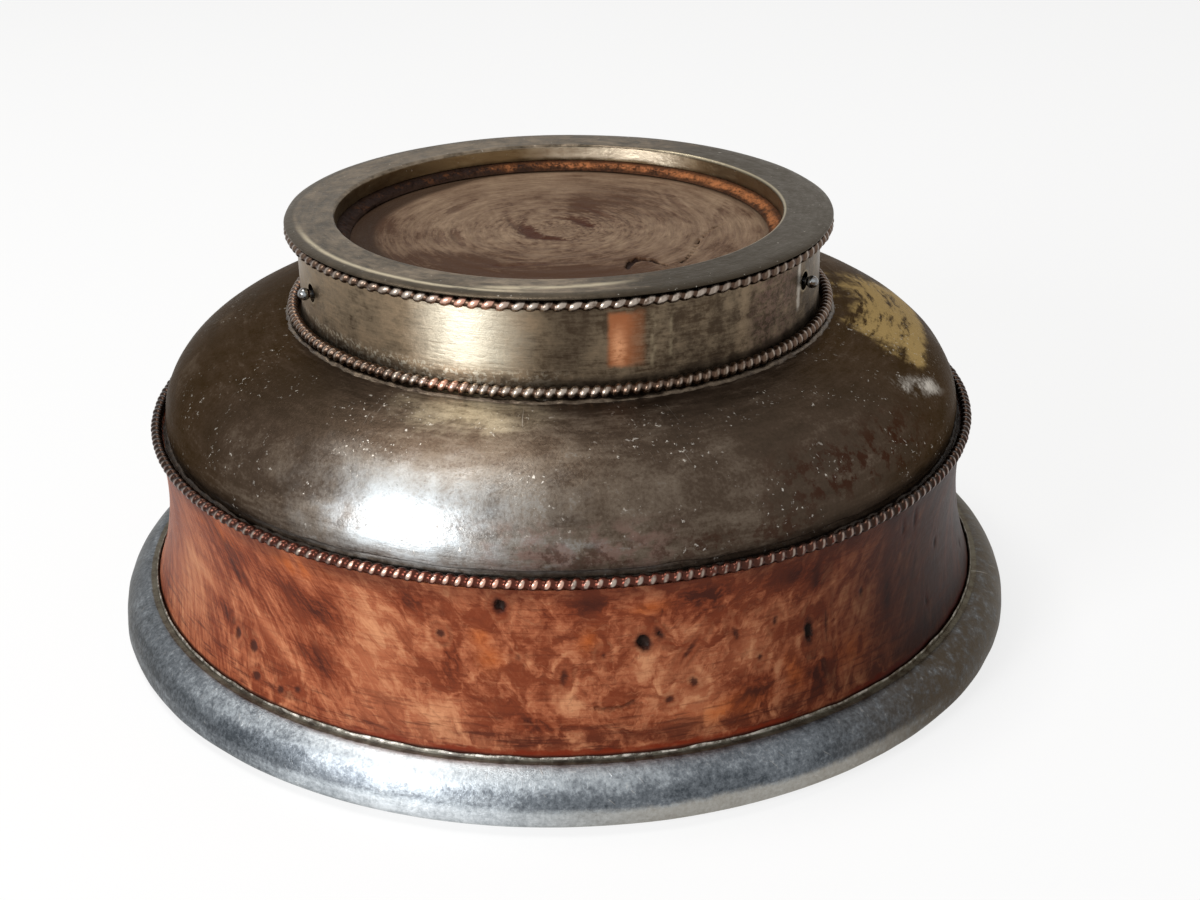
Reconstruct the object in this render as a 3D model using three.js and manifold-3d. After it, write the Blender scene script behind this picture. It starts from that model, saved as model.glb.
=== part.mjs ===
// A turned burr-wood bowl with silver mounts, standing on its lip with the foot up.
// Millimetres, +Z up. The origin is the middle of the plane that the lip stands on.

import * as THREE from 'three';
import { mergeVertices } from 'three/addons/utils/BufferGeometryUtils.js';
import Module from 'manifold-3d';

const wasm = await Module();
wasm.setup();

// Storeys of the bowl, from the lip up to the foot
const rimHeight = 7.4;
const woodBandHeight = 21.9;
const calyxSkirt = 2;
const calyxRise = 13.5;
const collarHeight = 12.85;
const flangeThickness = 0.55;

// Radii, each measured from the piece that it stands on
const calyxRadius = 56.5;
const waistStandOut = 0.65;
const lipFlare = 2.85;
const rimLedge = 0.8;
const rimBulge = 4.5;
const collarRadius = 36.4;
const flangeOverhang = 1.6;
const flangeWidth = 6.9;

// Wooden bowl
const waistBelowBorder = 6.8;
const wallThickness = 4.2;
const floorThickness = 14.5;
const floorRadius = 12;
const springHeight = 24;
const lipThickness = 3.8;
const footRecess = 3.7;

// Rim mount, formed over the wooden lip
const lipSeatHeight = 2.4;
const bellyHeight = 1.6;
const landWidth = 2.6;
const landInset = 3.6;
const rimInnerHem = 1.1;

// Sheet silver
const linerGauge = 0.6;
const calyxGauge = 0.8;
const collarGauge = 0.8;
const flangeLipGauge = 0.6;
const flangeLipDepth = 1.85;
const flangeEdgeWidth = 1.5;
const flangeEdgeFlat = 0.2;
const flangeLipRound = 0.5;

// The collar's base turns out over the dome in a small hollow curve
const collarSpread = 0.3;
const collarSpreadHeight = 2.4;

// Twisted wire borders: two strands, and a bead shows wherever one crosses over the other
const calyxRope = { radius: 0.8, beadPitch: 1.51, standOff: 0.6 };
const lowerFootRope = { radius: 0.85, beadPitch: 1.36, standOff: 0.1 };
const upperFootRope = { radius: 0.8, beadPitch: 1.77, standOff: 0.1 };
const ropeWaist = 0.58;
const stepsPerBead = 2;

// Ball-headed pins through oversize holes in the collar into the wooden foot
const pins = [
  { angle: 206, belowFlange: 6.6 },
  { angle: 334, belowFlange: 5.5 },
  { angle: 90, belowFlange: 6 },
];
const pinBallRadius = 0.85;
const pinShankRadius = 0.5;
const pinGrip = 5;
const collarHoleRadius = 1.25;
const pinStandOff = 0.2;

// Lac cement bead round the recessed base, under the flange's inner lip
const lacBeadWidth = 1.9;
const lacBeadTopWidth = 1.0;

// Clearance between two pieces that seat on each other
const seatGap = 0.1;

// Facets round a turned piece and along the curves of its outline
const turnSegments = 44;
const pinSegments = 8;
const domeSteps = 7;
const underDomeSteps = 4;
const insideSteps = 5;
const bandSteps = 4;
const mouldingSteps = 5;
const cornerSteps = 2;
const weldDistance = 1e-5;

// Levels
const borderLevel = rimHeight + woodBandHeight;
const skirtLevel = borderLevel + calyxSkirt;
const crownLevel = skirtLevel + calyxRise;
const flangeLevel = crownLevel + seatGap + collarHeight + seatGap;
const footLevel = flangeLevel + flangeThickness;
const baseLevel = footLevel - footRecess;
const cavityLevel = baseLevel - floorThickness;
const waistLevel = borderLevel - waistBelowBorder;

// Radii that follow
const waistRadius = calyxRadius + waistStandOut;
const lipRadius = waistRadius + lipFlare;
const lipInnerRadius = lipRadius - lipThickness;
const ledgeRadius = lipRadius + rimLedge;
const rimRadius = ledgeRadius + rimBulge;
const collarInnerRadius = collarRadius - collarGauge;
const woodFootRadius = collarInnerRadius - seatGap;
const flangeRadius = collarRadius + flangeOverhang;
const flangeInnerRadius = flangeRadius - flangeWidth;
const flangeLipRadius = flangeInnerRadius + flangeLipGauge;
const recessRadius = flangeLipRadius + seatGap;

// Finishes
const burr = new THREE.MeshStandardMaterial({ color: 0x8a4a2a, roughness: 0.45, metalness: 0 });
const rimSilver = new THREE.MeshStandardMaterial({ color: 0xa9aeb2, roughness: 0.35, metalness: 1 });
const agedSilver = new THREE.MeshStandardMaterial({ color: 0x7c7266, roughness: 0.4, metalness: 1 });
const wireSilver = new THREE.MeshStandardMaterial({ color: 0x9a8c80, roughness: 0.35, metalness: 1 });
const flangeSilver = new THREE.MeshStandardMaterial({ color: 0x85806f, roughness: 0.45, metalness: 1 });
const pinSilver = new THREE.MeshStandardMaterial({ color: 0x8d8a84, roughness: 0.3, metalness: 1 });
const lac = new THREE.MeshStandardMaterial({ color: 0xa9673b, roughness: 0.85, metalness: 0 });

// Points along an ellipse in a turned piece's outline, from one angle to another in degrees
function arc(centreR, centreZ, reachR, reachZ, fromAngle, toAngle, steps) {
  const points = [];
  for (let step = 0; step <= steps; step += 1) {
    const angle = THREE.MathUtils.degToRad(fromAngle + ((toAngle - fromAngle) * step) / steps);
    const r = centreR + reachR * Math.cos(angle);
    points.push([r, centreZ + reachZ * Math.sin(angle)]);
  }
  return points;
}

// An outline of [radius, height] points, listed with the material on its left, turned about Z
function turned(outline, segments = turnSegments) {
  const profile = outline.map(([r, z]) => new THREE.Vector2(r < weldDistance ? 0 : r, z));
  if (profile[0].x > 0) profile.push(profile[0].clone());
  return new THREE.LatheGeometry(profile, segments).rotateX(Math.PI / 2);
}

function toSolid(geometry) {
  const bare = geometry.clone();
  bare.deleteAttribute('normal');
  bare.deleteAttribute('uv');
  const merged = mergeVertices(bare, weldDistance);
  const vertProperties = new Float32Array(merged.attributes.position.array);
  const corners = Array.from(merged.index.array);
  const triVerts = [];
  for (let first = 0; first < corners.length; first += 3) {
    const [a, b, c] = corners.slice(first, first + 3);
    if (a !== b && b !== c && c !== a) triVerts.push(a, b, c);
  }
  return new wasm.Manifold(
    new wasm.Mesh({ numProp: 3, vertProperties, triVerts: new Uint32Array(triVerts) }),
  );
}

function toGeometry(solid) {
  const mesh = solid.getMesh();
  const geometry = new THREE.BufferGeometry();
  geometry.setAttribute('position', new THREE.BufferAttribute(mesh.vertProperties, 3));
  geometry.setIndex(new THREE.BufferAttribute(mesh.triVerts, 1));
  geometry.computeVertexNormals();
  return geometry;
}

// The bare wood's radius at a height: a shallow hollow, widest at the rim mount
function woodWallRadius(level) {
  const fromWaist = (level - waistLevel) / (waistLevel - rimHeight);
  return waistRadius + lipFlare * fromWaist * fromWaist;
}

// The bowl's outer dome, drawn in by a distance for the sheet and for the wood under it
function domeCurve(inset, steps) {
  const centre = collarInnerRadius;
  return arc(centre, skirtLevel, calyxRadius - centre - inset, calyxRise - inset, 0, 90, steps);
}

// The bowl's inside, from the lip to the middle, drawn in by a distance
function insideCurve(inset) {
  const wallRadius = waistRadius - wallThickness - inset;
  const rise = cavityLevel - springHeight - inset;
  return [
    [lipInnerRadius - inset, lipSeatHeight],
    ...arc(floorRadius, springHeight, wallRadius - floorRadius, rise, 0, 90, insideSteps),
    [0, cavityLevel - inset],
  ];
}

// A round bore through a turned piece, along one pin's radius
function pinBore(pin, boreRadius, fromRadius, toRadius) {
  const length = toRadius - fromRadius;
  const bore = new THREE.CylinderGeometry(boreRadius, boreRadius, length, pinSegments);
  bore.rotateZ(-Math.PI / 2);
  bore.translate(fromRadius + length / 2, 0, 0);
  bore.rotateZ(THREE.MathUtils.degToRad(pin.angle));
  bore.translate(0, 0, flangeLevel - pin.belowFlange);
  return toSolid(bore);
}

function woodenBowl() {
  const band = [];
  for (let step = 0; step <= bandSteps; step += 1) {
    const level = rimHeight + (woodBandHeight * step) / bandSteps;
    band.push([woodWallRadius(level), level]);
  }
  const outline = [
    ...insideCurve(0).reverse(),
    [lipRadius, lipSeatHeight],
    ...band,
    [calyxRadius - calyxGauge - seatGap, borderLevel],
    ...domeCurve(calyxGauge + seatGap, underDomeSteps),
    [woodFootRadius, crownLevel],
    [woodFootRadius, flangeLevel - seatGap],
    [recessRadius, flangeLevel - seatGap],
    [recessRadius, baseLevel],
    [0, baseLevel],
  ];
  let solid = toSolid(turned(outline));
  const boreRadius = pinShankRadius + seatGap;
  for (const pin of pins) {
    const bore = pinBore(pin, boreRadius, woodFootRadius - pinGrip - seatGap, collarRadius);
    solid = solid.subtract(bore);
  }
  return toGeometry(solid);
}

function bowlLiner() {
  const outer = insideCurve(seatGap);
  const inner = insideCurve(seatGap + linerGauge).reverse();
  return turned([...inner, ...outer]);
}

// Convex moulding outside, a flat land to stand on, and a step that the wooden lip seats in
function rimMount() {
  const innerRadius = lipInnerRadius - seatGap - linerGauge - seatGap;
  const landOuter = rimRadius - landInset;
  const ledgeRise = rimHeight - bellyHeight;
  return turned([
    [innerRadius, rimInnerHem],
    [landOuter - landWidth, 0],
    ...arc(landOuter, bellyHeight, landInset, bellyHeight, -90, 0, cornerSteps),
    ...arc(ledgeRadius, bellyHeight, rimBulge, ledgeRise, 0, 90, mouldingSteps).slice(1),
    [lipRadius + seatGap, rimHeight - seatGap],
    [lipRadius + seatGap, lipSeatHeight - seatGap],
    [innerRadius, lipSeatHeight - seatGap],
  ]);
}

function calyxShell() {
  const outline = [
    [calyxRadius - calyxGauge, borderLevel + seatGap],
    [calyxRadius, borderLevel + seatGap],
    ...domeCurve(0, domeSteps),
    ...domeCurve(calyxGauge, underDomeSteps).reverse(),
  ];
  return turned(outline);
}

function footCollar() {
  const base = crownLevel + seatGap;
  const spreadTop = base + collarSpreadHeight;
  const spreadCentre = collarRadius + collarSpread;
  const outline = [
    [collarInnerRadius, base],
    ...arc(spreadCentre, spreadTop, -collarSpread, -collarSpreadHeight, 90, 0, cornerSteps),
    [collarRadius, flangeLevel - seatGap],
    [collarInnerRadius, flangeLevel - seatGap],
  ];
  let solid = toSolid(turned(outline));
  for (const pin of pins) {
    solid = solid.subtract(pinBore(pin, collarHoleRadius, woodFootRadius, flangeRadius));
  }
  return toGeometry(solid);
}

// Flat standing ring with a bevelled edge, its inner edge turned down into the recess
function footFlange() {
  const lipBottom = flangeLevel - flangeLipDepth;
  const round = flangeLipRound;
  const flatRadius = flangeRadius - flangeEdgeWidth;
  const edgeTop = flangeLevel + flangeEdgeFlat;
  return turned([
    [flangeLipRadius, lipBottom],
    [flangeLipRadius, flangeLevel],
    [flangeRadius - flangeEdgeFlat, flangeLevel],
    ...arc(flatRadius, edgeTop, flangeEdgeWidth, footLevel - edgeTop, 0, 90, cornerSteps),
    ...arc(flangeInnerRadius + round, footLevel - round, round, round, 90, 180, cornerSteps),
    [flangeInnerRadius, lipBottom],
  ]);
}

function lacCementBead() {
  const outer = recessRadius - seatGap;
  const bottom = baseLevel + seatGap;
  const top = flangeLevel - flangeLipDepth - seatGap;
  return turned([
    [outer - lacBeadWidth, bottom],
    [outer, bottom],
    [outer, top],
    [outer - lacBeadTopWidth, top],
  ]);
}

// Two wires twisted together and closed into a ring. Their section, a lozenge as long as two
// wires and about as wide as one, makes half a turn for each bead as it goes round.
function twistedRing(ringRadius, level, rope) {
  const beads = 2 * Math.round((Math.PI * ringRadius) / rope.beadPitch);
  const steps = beads * stepsPerBead;
  const sides = 4;
  const positions = [];
  const indices = [];
  for (let step = 0; step < steps; step += 1) {
    const around = (2 * Math.PI * step) / steps;
    for (let side = 0; side < sides; side += 1) {
      const reach = side % 2 === 0 ? rope.radius : rope.radius * ropeWaist;
      const turn = (Math.PI * step) / stepsPerBead + (2 * Math.PI * side) / sides;
      const r = ringRadius + reach * Math.cos(turn);
      positions.push(r * Math.cos(around), r * Math.sin(around), level + reach * Math.sin(turn));
      const next = ((step + 1) % steps) * sides;
      const here = step * sides;
      const other = (side + 1) % sides;
      indices.push(here + side, next + side, here + other);
      indices.push(here + other, next + side, next + other);
    }
  }
  const geometry = new THREE.BufferGeometry();
  geometry.setAttribute('position', new THREE.Float32BufferAttribute(positions, 3));
  geometry.setIndex(indices);
  geometry.computeVertexNormals();
  return geometry;
}

// Pin along +X with its ball at x = 0 and its shank running inwards
function footPin() {
  const neck = Math.sqrt(pinBallRadius ** 2 - pinShankRadius ** 2);
  const shankLength = pinStandOff + pinBallRadius + collarGauge + seatGap + pinGrip;
  const neckAngle = THREE.MathUtils.radToDeg(Math.asin(-neck / pinBallRadius));
  const ball = arc(0, 0, pinBallRadius, pinBallRadius, neckAngle, 90, mouldingSteps);
  const outline = [[0, -shankLength], [pinShankRadius, -shankLength], ...ball];
  return turned(outline, pinSegments).rotateY(Math.PI / 2);
}

const bowl = new THREE.Group();

function addPiece(name, geometry, look, parent = bowl) {
  const piece = new THREE.Mesh(geometry, look);
  piece.name = name;
  parent.add(piece);
  return piece;
}

addPiece('wooden_bowl', woodenBowl(), burr);
addPiece('bowl_liner', bowlLiner(), rimSilver);
addPiece('rim_mount', rimMount(), rimSilver);
addPiece('calyx_shell', calyxShell(), agedSilver);
addPiece('foot_collar', footCollar(), agedSilver);
addPiece('foot_flange', footFlange(), flangeSilver);
addPiece('lac_cement_bead', lacCementBead(), lac);

const calyxRopeRing = calyxRadius + calyxRope.standOff + calyxRope.radius;
const calyxRopeLevel = borderLevel + seatGap + calyxRope.radius;
addPiece('calyx_rope_wire', twistedRing(calyxRopeRing, calyxRopeLevel, calyxRope), wireSilver);

const lowerRopeRing =
  collarRadius + collarSpread + lowerFootRope.standOff + lowerFootRope.radius;
const lowerRopeLevel = crownLevel + seatGap + lowerFootRope.radius;
const lowerRope = twistedRing(lowerRopeRing, lowerRopeLevel, lowerFootRope);
addPiece('foot_lower_rope_wire', lowerRope, wireSilver);

const upperRopeRing = collarRadius + upperFootRope.standOff + upperFootRope.radius;
const upperRopeLevel = flangeLevel - seatGap - upperFootRope.radius;
const upperRope = twistedRing(upperRopeRing, upperRopeLevel, upperFootRope);
addPiece('foot_upper_rope_wire', upperRope, wireSilver);

pins.forEach(({ angle, belowFlange }, index) => {
  const seat = new THREE.Group();
  seat.rotation.z = THREE.MathUtils.degToRad(angle);
  seat.position.z = flangeLevel - belowFlange;
  bowl.add(seat);
  const pin = addPiece(`foot_pin_${index + 1}`, footPin(), pinSilver, seat);
  pin.position.x = collarRadius + pinStandOff + pinBallRadius;
});

export default bowl;
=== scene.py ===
# A turned burr-wood bowl with silver mounts, standing on its lip with the foot up: the looks.
# Metres, +Z up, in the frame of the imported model. A bearing is in degrees round the bowl from
# its front (-Y), positive towards its right (+X).
import math

import bpy
import numpy as np
from mathutils import Matrix, Vector, noise


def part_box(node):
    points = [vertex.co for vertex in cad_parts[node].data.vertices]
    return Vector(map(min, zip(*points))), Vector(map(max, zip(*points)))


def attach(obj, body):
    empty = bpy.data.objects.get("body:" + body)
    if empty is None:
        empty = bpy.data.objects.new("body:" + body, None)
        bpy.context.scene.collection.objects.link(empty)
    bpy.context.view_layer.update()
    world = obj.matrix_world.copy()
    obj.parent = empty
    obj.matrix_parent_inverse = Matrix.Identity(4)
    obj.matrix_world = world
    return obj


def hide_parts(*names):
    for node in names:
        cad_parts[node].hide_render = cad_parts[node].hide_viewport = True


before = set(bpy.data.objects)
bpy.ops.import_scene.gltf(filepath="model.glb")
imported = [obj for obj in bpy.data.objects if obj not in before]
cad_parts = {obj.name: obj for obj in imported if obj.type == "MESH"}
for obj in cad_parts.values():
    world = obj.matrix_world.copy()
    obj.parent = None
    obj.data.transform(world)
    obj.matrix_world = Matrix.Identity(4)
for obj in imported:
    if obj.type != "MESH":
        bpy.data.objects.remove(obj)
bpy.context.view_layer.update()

MM = 0.001

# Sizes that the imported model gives
rim_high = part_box("rim_mount")[1]
shell_low, shell_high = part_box("calyx_shell")
collar_low, collar_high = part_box("foot_collar")
flange_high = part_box("foot_flange")[1]
lac_low, lac_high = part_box("lac_cement_bead")

RIM_RADIUS, RIM_TOP = rim_high.x, rim_high.z
SHELL_RADIUS, SHELL_BASE, CROWN = shell_high.x, shell_low.z, shell_high.z
COLLAR_BASE, COLLAR_TOP = collar_low.z, collar_high.z
FLANGE_RADIUS, FOOT_TOP = flange_high.x, flange_high.z

# Sizes that it holds inside its outlines
SEAT_GAP = 0.1 * MM
RIM_BULGE = 4.5 * MM
RIM_LEDGE = 0.8 * MM
BELLY_HEIGHT = 1.6 * MM
LAND_INSET = 3.6 * MM
LAND_WIDTH = 2.6 * MM
RIM_HEM = 1.1 * MM
LIP_SEAT = 2.4 * MM
LIP_THICKNESS = 3.8 * MM
WAIST_RADIUS = 57.15 * MM
WAIST_LEVEL = 22.5 * MM
LIP_FLARE = 2.85 * MM
WALL_THICKNESS = 4.2 * MM
FLOOR_RADIUS = 12 * MM
SPRING_HEIGHT = 24 * MM
FLOOR_THICKNESS = 14.5 * MM
FOOT_RECESS = 3.7 * MM
LINER_GAUGE = 0.6 * MM
SHELL_GAUGE = 0.8 * MM
SHELL_SKIRT = 2 * MM
COLLAR_RADIUS = 36.4 * MM
COLLAR_GAUGE = 0.8 * MM
COLLAR_SPREAD_HEIGHT = 2.4 * MM
FLANGE_LIP_GAUGE = 0.6 * MM
FLANGE_LIP_DEPTH = 1.85 * MM
FLANGE_WIDTH = 6.9 * MM
FLANGE_THICKNESS = 0.55 * MM
PIN_HOLE_RADIUS = 1.25 * MM
PIN_BALL_RADIUS = 0.85 * MM
PIN_SHANK_RADIUS = 0.5 * MM
PINS = ("foot_pin_1", "foot_pin_2", "foot_pin_3")

# Levels and radii that follow
BORDER = SHELL_BASE - SEAT_GAP
SKIRT_TOP = BORDER + SHELL_SKIRT
FLANGE_LEVEL = FOOT_TOP - FLANGE_THICKNESS
BASE_LEVEL = FOOT_TOP - FOOT_RECESS
CAVITY = BASE_LEVEL - FLOOR_THICKNESS
LIP_RADIUS = WAIST_RADIUS + LIP_FLARE
LIP_INNER = LIP_RADIUS - LIP_THICKNESS
LEDGE_RADIUS = LIP_RADIUS + RIM_LEDGE
COLLAR_INNER = COLLAR_RADIUS - COLLAR_GAUGE
WOOD_FOOT = COLLAR_INNER - SEAT_GAP
FLANGE_INNER = FLANGE_RADIUS - FLANGE_WIDTH
FLANGE_LIP_RADIUS = FLANGE_INNER + FLANGE_LIP_GAUGE
RECESS_RADIUS = FLANGE_LIP_RADIUS + SEAT_GAP
MM_PER_DEGREE = math.radians(WAIST_RADIUS / MM)

# The distance that is given where no mark is nearer
FAR_IN_MM = 9.0


# Outlines and turned meshes

def arc(centre, reach, start, end, steps):
    """Points (radius, height) along an ellipse, from one angle to another in degrees."""
    angles = np.radians(np.linspace(start, end, steps + 1))
    return np.stack(
        [centre[0] + reach[0] * np.cos(angles), centre[1] + reach[1] * np.sin(angles)], axis=1)


def line(start, end, steps):
    """Points (radius, height) along a straight stretch, its two ends among them."""
    share = np.linspace(0, 1, steps + 1)[:, None]
    return np.array(start) * (1 - share) + np.array(end) * share


def outline(*stretches):
    """Joins stretches of an outline and drops points that lie on one another."""
    points = np.concatenate([np.atleast_2d(np.array(s, float)) for s in stretches])
    apart = np.hypot(*(points[1:] - points[:-1]).T) > 1e-7
    return points[np.concatenate([[True], apart])]


def link(name, data):
    """A new object in the scene."""
    item = bpy.data.objects.new(name, data)
    bpy.context.scene.collection.objects.link(item)
    return item


def round_z(radius, height, bearing):
    """Points (x, y, z) from a radius, a height and a bearing in radians."""
    return np.stack([radius * np.sin(bearing), -radius * np.cos(bearing), height], axis=-1)


def mesh_object(name, points, faces, smooth_angle):
    """A smooth-shaded mesh piece, with edges that stay sharp above an angle in degrees."""
    mesh = bpy.data.meshes.new(name)
    mesh.from_pydata(points.tolist(), [], faces)
    mesh.validate()
    mesh.shade_smooth()
    mesh.set_sharp_from_angle(angle=math.radians(smooth_angle))
    return link(name, mesh)


def turned(name, profile, segments, relief=None, smooth_angle=40):
    """A closed body turned about Z. The profile lists (radius, height) with the material on its
    left, and starts and ends on the axis or comes back to its start. relief takes radius, height
    and bearing arrays and gives radius and height back moved."""
    on_axis = profile[0][0] < 1e-9
    rows = profile[1:-1] if on_axis else profile
    bearing = np.tile(np.linspace(0, 2 * np.pi, segments, endpoint=False), (len(rows), 1))
    radius = np.repeat(rows[:, :1], segments, axis=1)
    height = np.repeat(rows[:, 1:], segments, axis=1)
    if relief:
        radius, height = relief(radius, height, bearing)
    points = round_z(radius, height, bearing).reshape(-1, 3)
    count = len(rows)
    column = np.arange(segments)
    beside = (column + 1) % segments
    faces = []
    for row in range(count - 1 if on_axis else count):
        here, above = row * segments, (row + 1) % count * segments
        quad = [here + column, here + beside, above + beside, above + column]
        faces.extend(np.stack(quad, axis=1).tolist())
    if on_axis:
        first = len(points)
        last = (count - 1) * segments
        points = np.concatenate([points, [[0, 0, profile[0][1]], [0, 0, profile[-1][1]]]])
        ends = [[column * 0 + first, beside, column],
                [column * 0 + first + 1, last + column, last + beside]]
        for end in ends:
            faces.extend(np.stack(end, axis=1).tolist())
    return mesh_object(name, points, faces, smooth_angle)


def place(piece, look, slot, *nodes):
    """Gives the piece its material. It stands for these CAD nodes. The slot is not used."""
    piece.data.materials.append(look)
    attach(piece, "root")
    if nodes:
        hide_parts(*nodes)


def points_of(piece):
    """The piece's vertices as x, y, z, radius and bearing arrays."""
    points = np.zeros(len(piece.data.vertices) * 3)
    piece.data.vertices.foreach_get("co", points)
    x, y, z = points.reshape(-1, 3).T
    return x, y, z, np.hypot(x, y), np.arctan2(x, -y)


def add_values(piece, **values):
    """Keeps numbers for each vertex, which the material reads by their names."""
    for name, numbers in values.items():
        attribute = piece.data.attributes.new(name, "FLOAT", "POINT")
        attribute.data.foreach_set("value", np.ravel(numbers).astype(np.float32))


def smoothstep(value, low, high):
    """0 below low and 1 above high, with a soft turn at both ends."""
    share = np.clip((value - low) / (high - low), 0, 1)
    return share * share * (3 - 2 * share)


def swell(bearing, height, seed, waves, height_wave):
    """Slow handmade unevenness between about -1 and 1, closed round the bowl."""
    draw = np.random.default_rng(seed)
    total = np.zeros_like(bearing)
    for turn in waves:
        phase, lean = draw.uniform(0, 2 * np.pi), draw.uniform(-1, 1)
        total += np.cos(turn * bearing + lean * height / height_wave * 2 * np.pi + phase)
    return total / math.sqrt(len(waves))


def crumb(radius, height, bearing, size, seed):
    """Crumbly unevenness between about -1 and 1 at points round the bowl."""
    points = round_z(radius, height, bearing).reshape(-1, 3)
    shift = Vector((seed * 3.7, seed * 1.9, seed * 5.3))
    values = [noise.noise(Vector(point) / size + shift) for point in points]
    return np.array(values).reshape(radius.shape)


def degrees_apart(bearing, middle):
    """Signed turn from a bearing in degrees, between -180 and 180."""
    return (np.degrees(bearing) - middle + 180) % 360 - 180


# Node materials

def rgb(red, green, blue):
    """A linear colour from the 0 to 255 values of a screen colour."""
    def linear(value):
        share = value / 255
        return share / 12.92 if share <= 0.04045 else ((share + 0.055) / 1.055) ** 2.4
    return (linear(red), linear(green), linear(blue), 1)


class Value:
    """A node's output. Arithmetic on it makes more nodes."""

    def __init__(self, graph, socket):
        self.graph = graph
        self.socket = socket

    def __add__(self, other):
        return self.graph.math("ADD", self, other)

    def __sub__(self, other):
        return self.graph.math("SUBTRACT", self, other)

    def __mul__(self, other):
        return self.graph.math("MULTIPLY", self, other)

    __radd__ = __add__
    __rmul__ = __mul__

    def __abs__(self):
        return self.graph.math("ABSOLUTE", self)

    def top(self, other):
        """The larger of the two."""
        return self.graph.math("MAXIMUM", self, other)

    def fade(self, low, high):
        """0 where the value is at low, 1 at high, soft between them. low may be the larger."""
        node = self.graph.node(
            "MapRange", {"Value": self, "From Min": low, "From Max": high},
            interpolation_type="SMOOTHSTEP")
        return Value(self.graph, node.outputs["Result"])

    def between(self, low, high, edge):
        """1 while the value lies between low and high, with soft edges of this width."""
        return self.fade(low - edge, low + edge) * self.fade(high + edge, high - edge)

    def near(self, middle, reach):
        """1 where the value is at its middle, 0 farther from it than the reach."""
        return abs(self - middle).fade(reach, 0)

    def swing(self, amount):
        """The value's distance from a half, times an amount."""
        return (self - 0.5) * amount

    def stir(self, noise, amount):
        """The value moved up and down by a noise."""
        return self + noise.swing(amount)

    def blend(self, first, second):
        """The first where this share is 0, the second where it is 1."""
        return first + self * (second - first)


class Graph:
    """A node tree that is built up by short calls."""

    def __init__(self, tree):
        self.tree = tree

    def feed(self, socket, value):
        """Links a value to a socket, or sets the socket where it is a plain number or colour."""
        if isinstance(value, Value):
            self.tree.links.new(value.socket, socket)
        else:
            socket.default_value = value

    def node(self, kind, inputs, **settings):
        node = self.tree.nodes.new("ShaderNode" + kind)
        for setting, value in settings.items():
            setattr(node, setting, value)
        for socket, value in inputs.items():
            self.feed(node.inputs[socket], value)
        return node

    def math(self, operation, *values):
        node = self.node("Math", dict(enumerate(values)), operation=operation)
        return Value(self, node.outputs[0])

    def background_share(self):
        """1 for the rays that show the background, 0 for the rays that light the bowl."""
        path = self.node("LightPath", {})
        camera = Value(self, path.outputs["Is Camera Ray"])
        glossy = Value(self, path.outputs["Is Glossy Ray"])
        through = Value(self, path.outputs["Is Transmission Ray"])
        return camera.top(glossy).top(through)


# Where a colour mix keeps its two colours and its result among its sockets
MIX_FIRST, MIX_SECOND, MIX_RESULT = 6, 7, 2


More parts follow.
